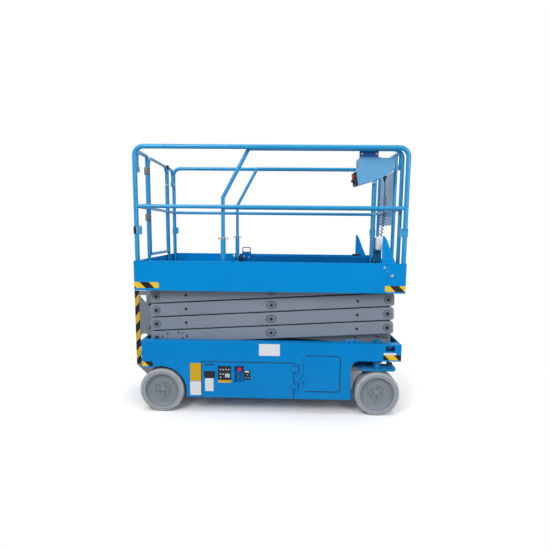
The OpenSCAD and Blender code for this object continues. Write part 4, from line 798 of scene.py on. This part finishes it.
pin_back, pin_mid, pin_front = -0.891, 0.10416, 1.09932
first_pin_z, pitch = 0.633, 0.121036
arm_face, head_face = 0.490, 0.495
slope = math.atan2(pitch, pin_front - pin_back)
upright = Matrix.Rotation(math.radians(90), 4, "X")
turn = Matrix.Rotation(-slope, 4, "Y")
plug_x, keeper_half, keeper_half_h, keeper_bolt = (-0.63438, 0.84270), 0.043, 0.0085, 0.036
# Painted shade: a near-black ring round each end pin's head, in the blacked bolt finish.
pin_shade_ring = [(0.0292, -0.0005), (0.0292, 0.0008), (0.0335, 0.0008), (0.0335, -0.0005)]
head_ring = [(0.0295, -0.0005), (0.0290, 0.0014), (0.0275, 0.0020), (0.0215, 0.0020), (0.0200, 0.0010),
             (0.0195, -0.0005)]
hole_plug = [(0.0, 0.0008), (0.0100, 0.0008), (0.0125, 0.0003), (0.0125, -0.0040), (0.0, -0.0040)]
for k in levels:
    low_z = first_pin_z + (k - 1) * pitch
    ends = [(pin_back, low_z), (pin_front, low_z + pitch)]
    middle_z = low_z + pitch / 2
    bm, bolts, plugs = bmesh.new(), bmesh.new(), bmesh.new()
    for side in (-1, 1):
        out_way = (0, side, 0)
        for x, z in ends:
            lathe(bolts, pin_shade_ring, (x, side * arm_face, z), out_way, 44, ring=True)
            lathe(bm, head_ring, (x, side * head_face, z), out_way, 44, ring=True)
            rivet(bolts, x, z, side * head_face, 0.0240, 0.0029, 0.0008, 6)
            rivet(bolts, x, z, side * head_face, 0.0330, 0.0012, 0.0003, 28)
        # The first, larger oval is near-black: a painted shade outline round the keeper plate.
        for mesh, long_r, tall_r, proud in ((bolts, 0.0450, 0.0350, 0.0012), (bm, 0.0395, 0.0300, 0.0020)):
            spot = Matrix.Translation((pin_mid, side * (arm_face + proud / 2), middle_z))
            oval = Matrix.Diagonal((long_r, tall_r, proud + 0.001, 1.0))
            bmesh.ops.create_cone(mesh, cap_ends=True, segments=44, radius1=1.0, radius2=1.0, depth=1.0,
                                  matrix=spot @ turn @ upright @ oval)
        slab(bm, (pin_mid - keeper_half, side * (head_face - panel_sunk), middle_z - keeper_half_h),
             (pin_mid + keeper_half, side * (head_face + 0.0016), middle_z + keeper_half_h), 0.0007, turn)
        rivet(bolts, pin_mid, middle_z, side * head_face, 0.032, 0.0030, 0.0008, 6, 0.0)
        for way in (-1, 1):
            x = pin_mid + way * keeper_bolt * math.cos(slope)
            z = middle_z + way * keeper_bolt * math.sin(slope)
            rivet(bolts, x, z, side * arm_face, 0.011, head_face - arm_face + 0.0030, 0.0008, 6)
        for x in plug_x:
            z = low_z + (x - pin_back) * math.tan(slope)
            lathe(plugs, hole_plug, (x, side * arm_face, z), out_way, 24)
    piece(f"pin_rings_{k}", bm, [pin_enamel], f"outer_{k}")
    piece(f"pin_bolts_and_shade_{k}", bolts, [blacked], f"outer_{k}")
    piece(f"arm_plugs_{k}", plugs, [black_plastic], f"outer_{k}")

inner_face = 0.430
for side, hand in ((-1, "right"), (1, "left")):
    bm = bmesh.new()
    panel(bm, -0.052, 0.255, -0.038, 0.044, side * (arm_face - panel_sunk), side * (arm_face + 0.0020), 0.030)
    bmesh.ops.transform(bm, verts=bm.verts[:], matrix=Matrix.Translation((pin_back, 0, first_pin_z)) @ turn)
    piece(f"arm_end_plate_{hand}", bm, [arm_enamel], "outer_1")
    bm = bmesh.new()
    for x, z in ((-0.842, 0.644), (-0.799, 0.671), (-0.702, 0.681), (-0.668, 0.674), (-0.665, 0.632)):
        bolt(bm, (x, side * (arm_face + 0.0018), z), (0, side, 0), 0.011, 0.0022)
    piece(f"arm_end_bolts_{hand}", bm, [blacked], "outer_1")
    single(f"roller_end_plate_{hand}", arm_enamel, "inner_1", "arm_paint", panel, 1.012, 1.128, 0.600, 0.672,
           side * (inner_face - panel_sunk), side * (inner_face + 0.0020), 0.012)
    bm = bmesh.new()
    for x, z in ((1.030, 0.655), (1.050, 0.652), (1.085, 0.653), (1.113, 0.650)):
        bolt(bm, (x, side * (inner_face + 0.0018), z), (0, side, 0), 0.012, 0.0040)
    piece(f"roller_end_bolts_{hand}", bm, [blacked], "inner_1")

# Platform: a folded steel tray with deep side skins in the machine's blue. The floor behind the extension is
# raised-lug plate; the skins have warning tape at their corners and a bolted gusset behind each front post.
platform_enamel = enamelled("platform_enamel", (0.0002, 0.228, 0.575), 0.25, 0.1, 0.34)
floor_enamel = enamelled("floor_enamel", (0.001, 0.165, 0.420), 0.45, 0.1, 0.46)
dress(platform_enamel, "platform_sides", "platform_rear", "platform_mounts")
dress(floor_enamel, "platform_floor")
skin_face = 0.575
hazard_tape("platform_tape_rear", -1.0445, -0.837, 1.083, 1.133, skin_face, 0.133, 0.077, 1.0,
            "platform")
hazard_tape("platform_tape_front", 1.044, 1.2145, 1.077, 1.127, skin_face, 2.2095, 0.077, 1.0,
            "platform")


def lugs(bm, x0, x1, half_width, top, gap=0.042):
    """Raised oval lugs of floor plate, turned a quarter from one to the next."""
    for i in range(int((x1 - x0) / gap) + 1):
        for j in range(int(2 * half_width / gap) + 1):
            turn = Matrix.Rotation(math.radians(45 if (i + j) % 2 else -45), 4, "Z")
            spot = Matrix.Translation((x0 + i * gap, -half_width + j * gap, top + 0.0006))
            bmesh.ops.create_cone(bm, cap_ends=True, segments=8, radius1=1.0, radius2=0.6, depth=1.0,
                                  matrix=spot @ turn @ Matrix.Diagonal((0.0165, 0.0050, 0.0016, 1.0)))


floor_top = 1.19814
single("floor_lugs", floor_enamel, "platform", "platform_paint", lugs, -1.015, -0.352, 0.545, floor_top)

bm = bmesh.new()
for side in (-1, 1):
    bolt(bm, (1.033, side * skin_face, 1.278), (0, side, 0), 0.015, 0.006)
    bolt(bm, (1.098, side * skin_face, 1.210), (0, side, 0), 0.017, 0.006)
    rivet(bm, 1.058, 1.249, side * skin_face, 0.009, 0.0015, 0.0006)
piece("gusset_bolts", bm, [zinc], "platform")
bm = bmesh.new()
for side in (-1, 1):
    slab(bm, (1.021, side * (skin_face - tape_sink), 1.1852), (1.099, side * (skin_face + 0.0004), 1.1866))
piece("gusset_seams", bm, [black_plastic], "platform")
single("toe_buffer", black_plastic, "platform", "control_case", slab,
       (0.975, 0.5635, 1.304), (1.070, 0.5825, 1.3255), 0.006)

# Guard rails and entry gate: bent round tube in the machine's blue, with a deeper shine than the skins. The
# rails stand in fold brackets held by pins; the gate turns on two grey sleeves and closes on a capped post.
rail_enamel = enamelled("rail_enamel", (0.002, 0.262, 0.535), 0.3, 0.1, 0.24, 0.42)
dress(rail_enamel, "side_rail_right", "side_rail_left", "gate")
rail_y, rail_r, gate_x = 0.547, 0.019, -1.020
bracket_low, bracket_high = 1.530, 1.600
pins, slots = bmesh.new(), bmesh.new()
for side in (-1, 1):
    face = side * (rail_y + rail_r)
    for bm, x0, x1, z0, z1, proud, corner in (
            (slots, -1.0365, -1.0165, bracket_low + 0.006, bracket_high - 0.006, 0.0008, 0.004),
            (slots, 1.168, 1.209, bracket_high - 0.016, bracket_high - 0.010, 0.0007, 0.002),
            (pins, -1.0145, -1.0070, bracket_low + 0.010, bracket_high - 0.010, 0.0015, 0.003)):
        panel(bm, x0, x1, z0, z1, face - side * panel_sunk, face + side * proud, corner)
    for x in (-0.984, 1.160):
        bolt(pins, (x, side * rail_y, bracket_low + 0.046), (1 if x < 0 else -1, 0, 0), 0.012, 0.008)
piece("bracket_slots", slots, [black_plastic], "platform")
piece("bracket_pins", pins, [zinc], "platform")
sleeve_enamel = enamelled("sleeve_enamel", (0.165, 0.170, 0.180), 0.6, 0.1, 0.40, 0.2)
hinge_y, latch_y, latch_z, post_y = -0.268, 0.272, 2.034, 0.318
sleeve = [(0.0228, -0.0300), (0.0246, -0.0300), (0.0254, -0.0285), (0.0254, 0.0285), (0.0246, 0.0300),
          (0.0228, 0.0300)]
for z in (1.680, 2.086):
    bm = bmesh.new()
    lathe(bm, sleeve, (gate_x, hinge_y, z), (0, 0, 1), 36, ring=True)
    for way in (-1, 1):
        bolt(bm, (gate_x + 0.0072, hinge_y + 0.029, z + way * 0.010), (1, 0, 0), 0.010, 0.005)
    piece(f"gate_hinge_{round(z * 1000)}", bm, [sleeve_enamel], "gate")
single("latch_post_cap", black_plastic, "platform", "control_case", rod,
       (gate_x, post_y, 2.196), (gate_x, post_y, 2.236), 0.0400, 28, 0.006)
bm = bmesh.new()
slab(bm, (gate_x - 0.004, 0.262, latch_z - 0.014), (gate_x + 0.004, 0.300, latch_z + 0.014), 0.002)
rod(bm, (gate_x, latch_y, latch_z), (gate_x + 0.030, latch_y, latch_z), 0.012, 18, 0.002)
piece("gate_latch", bm, [zinc], "gate")

# Roll-out extension: a lug-plate deck with boards on three sides, rails in sockets clamped by plated collars,
# a sheet panel at the front, and on the left board the handle and hand lever that unlock the deck.
deck_enamel = enamelled("deck_enamel", (0.001, 0.122, 0.335), 0.45, 0.1, 0.42)
dress(deck_enamel, "extension_deck")
dress(rail_enamel, "extension_rail_right", "extension_rail_left", "extension_front")
deck_top = 1.20644
single("deck_lugs", deck_enamel, "extension", "deck_paint", lugs, -0.305, 1.150, 0.483, deck_top)

socket_x, socket_y, socket_top = -0.308, 0.4917, 1.4964
collar = [(0.0162, -0.001), (0.0228, -0.001), (0.0238, 0.001), (0.0238, 0.011), (0.0222, 0.013),
          (0.0162, 0.013)]
bm = bmesh.new()
for side in (-1, 1):
    y, screw_z = side * socket_y, socket_top + 0.006
    lathe(bm, collar, (socket_x, y, socket_top), (0, 0, 1), 40, ring=True)
    for way in (-1, 1):
        rod(bm, (socket_x + way * 0.018, y, screw_z), (socket_x + way * 0.036, y, screw_z), 0.007, 14, 0.001)
        slab(bm, (socket_x + way * 0.034, y - 0.0025, screw_z - 0.010),
             (socket_x + way * 0.044, y + 0.0025, screw_z + 0.010), 0.002)
piece("socket_collars", bm, [zinc], "extension")

board_in = 0.514
bm = bmesh.new()
handle_x, handle_end_x, handle_z, handle_low, bend = -0.250, -0.166, 1.372, 1.300, 0.014
slab(bm, (handle_x - 0.008, board_in - 0.008, 1.262), (handle_end_x + 0.008, board_in, 1.340), 0.002)
hoop_y = board_in - 0.009
line = [(handle_x, hoop_y, handle_low)]
for centre_x, first in ((handle_x + bend, 180), (handle_end_x - bend, 90)):
    line += quarter(centre_x, hoop_y, handle_z, bend, first)
tube(bm, line + [(handle_end_x, hoop_y, handle_low)], 0.011)
piece("deck_handle", bm, [deck_enamel], "extension")
bm = bmesh.new()
for x, z in ((handle_x + 0.014, 1.284), (handle_end_x - 0.014, 1.276)):
    bolt(bm, (x, board_in - 0.008, z), (0, -1, 0), 0.013, 0.005)
bolt(bm, (-0.288, 0.470, 1.300), (0, -1, 0), 0.012, 0.005)
piece("deck_handle_bolts", bm, [zinc], "extension")
lever_y, lever_tip_x, knob_r = 0.460, -0.336, 0.0135
bm = bmesh.new()
tube(bm, [(-0.262, 0.466, 1.268), (-0.290, 0.462, 1.262), (-0.318, lever_y, 1.264),
          (lever_tip_x, lever_y, 1.284)], 0.010)
slab(bm, (-0.274, lever_y, 1.250), (-0.250, 0.478, 1.284), 0.003)
slab(bm, (-0.270, 0.470, deck_top - 0.001), (-0.254, 0.478, 1.256), 0.001)
piece("deck_lever", bm, [black_plastic], "extension")
bm = bmesh.new()
bmesh.ops.create_uvsphere(bm, u_segments=28, v_segments=18, radius=knob_r,
                          matrix=Matrix.Translation((-0.341, lever_y, 1.294)))
rod(bm, (lever_tip_x, lever_y, 1.276), (-0.339, lever_y, 1.288), 0.013, 20, 0.002)
piece("lever_knob", bm, [white_plastic], "extension")

# Platform controls: a sheet-steel box hung on the extension's right rail by a darker hook. Its rear face has
# a black bezel with the joystick, switches and stop button; the cord leaves it below through a grommet.
box_blue, hook_blue, box_top = (0.100, 0.310, 0.540), (0.003, 0.085, 0.290), 2.1765
case_enamel = enamelled("control_case_enamel", box_blue, 0.3, 0.1, 0.36, 0.2)
paint_part(case_enamel, "Paint", "Z", box_top, box_blue, hook_blue)
dress(case_enamel, "control_box")
face_top, face_low = Vector((0.797, -0.400, 2.0641)), Vector((0.8160, -0.400, 1.9531))
down = (face_low - face_top).normalized()
face_out = Vector((down.z, 0.0, -down.x))
face_mid = (face_top + face_low) / 2
tilt = Matrix((-face_out, (0, 1, 0), -down)).transposed().to_4x4()


def on_face(across_y, up_face, proud):
    """A point of the control face: sideways, up the face and out from it."""
    return face_mid - down * up_face + face_out * proud + Vector((0.0, across_y, 0.0))


def face_block(bm, across_y, up_face, proud, half, edge):
    """A block square to the control face; half is its half size out from, across and up the face."""
    middle, half = on_face(across_y, up_face, proud), Vector(half)
    slab(bm, middle - half, middle + half, edge, tilt)


rim_up, rim_across, rim_proud, rim_edge = 0.049, 0.062, 0.015, 0.0015
bm = bmesh.new()
face_block(bm, 0.0, 0.0, 0.006, (0.007, 0.068, 0.055), 0.004)
for way in (-1, 1):
    face_block(bm, 0.0, way * rim_up, rim_proud, (0.003, 0.067, 0.005), rim_edge)
    face_block(bm, way * rim_across, 0.0, rim_proud, (0.003, 0.005, 0.053), rim_edge)
piece("control_bezel", bm, [black_plastic], "extension")
bm = bmesh.new()
lathe(bm, [(0.0, 0.023), (0.007, 0.0225), (0.0105, 0.0200), (0.0115, 0.0165), (0.0100, 0.0120),
           (0.0150, 0.0085), (0.0140, 0.0065), (0.0200, 0.0030), (0.0210, -0.0020), (0.0, -0.0020)],
      on_face(0.030, -0.006, 0.0130), face_out, 32)
switch_up = -0.030
for across_y in (-0.040, -0.020, 0.000):
    rod(bm, on_face(across_y, switch_up, 0.012), on_face(across_y, switch_up, 0.017), 0.013, 18, 0.002)
    tip = on_face(across_y, switch_up + 0.002, 0.027)
    rod(bm, on_face(across_y, switch_up, 0.016), tip, 0.006, 14, 0.001, 1.3)
piece("control_joystick", bm, [cord_sheath], "extension")
stop_button = [(0.0, 0.022), (0.011, 0.0215), (0.0165, 0.019), (0.0180, 0.015), (0.0165, 0.0115),
               (0.0100, 0.010), (0.0095, -0.002), (0.0, -0.002)]
single("control_stop_button", red_plastic, "extension", "control_case", lathe, stop_button,
       on_face(-0.034, 0.018, 0.0100), face_out, 36)

hook_face, case_face = 0.4754, 0.470
bm = bmesh.new()
for x in (0.836, 0.955):
    bolt(bm, (x, -hook_face, 2.208), (0, -1, 0), 0.013, 0.005)
for x, z in ((0.835, 2.155), (0.835, 2.100), (1.100, 2.160), (1.100, 2.100)):
    rivet(bm, x, z, -case_face, 0.008, 0.0015, 0.0006)
piece("control_bolts", bm, [zinc], "extension")
bm = bmesh.new()
slab(bm, (0.976, -0.440, 2.173), (1.006, -0.400, 2.187), 0.005)
lathe(bm, [(0.0034, 0.020), (0.0165, 0.016), (0.0175, 0.010), (0.0170, -0.002), (0.0110, -0.012),
           (0.0075, -0.030), (0.0034, -0.034)], cord_start, (0, 0, 1), 28, ring=True)
piece("control_grommet", bm, [cord_sheath], "extension")

# Power outlet of the extension: a white moulded socket box with a flap, on a bent steel bracket that stands
# on the deck beside the cord.
stand_x, stand_y, stand_t, stand_edge = 0.978, -0.394, 0.006, 0.0015
bm = bmesh.new()
slab(bm, (stand_x, stand_y - stand_t, deck_top - 0.001), (1.050, stand_y, 1.420), stand_edge)
slab(bm, (stand_x, -0.464, 1.400), (stand_x + stand_t, stand_y, 1.522), stand_edge)
piece("outlet_bracket", bm, [deck_enamel], "extension")
bm = bmesh.new()
slab(bm, (0.979, -0.514, 1.420), (1.035, -0.462, 1.531), 0.005)
slab(bm, (0.985, -0.520, 1.436), (1.029, -0.512, 1.516), 0.003)
flap_x, flap_y, flap_z = 1.007, -0.516, 1.519
for way in (-1, 1):
    rod(bm, (flap_x + way * 0.004, flap_y, flap_z), (flap_x + way * 0.018, flap_y, flap_z), 0.006, 14, 0.001)
piece("outlet_box", bm, [white_plastic], "extension")
grommet = [(0.0034, 0.0), (0.0150, 0.0), (0.0160, 0.002), (0.0140, 0.012), (0.0080, 0.024), (0.0034, 0.026)]
single("outlet_grommet", cord_sheath, "extension", "cord_cover", lathe, grommet,
       (cord_end.x, cord_end.y, cord_end.z - 0.001), (0, 0, 1), 28, ring=True)

low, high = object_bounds()
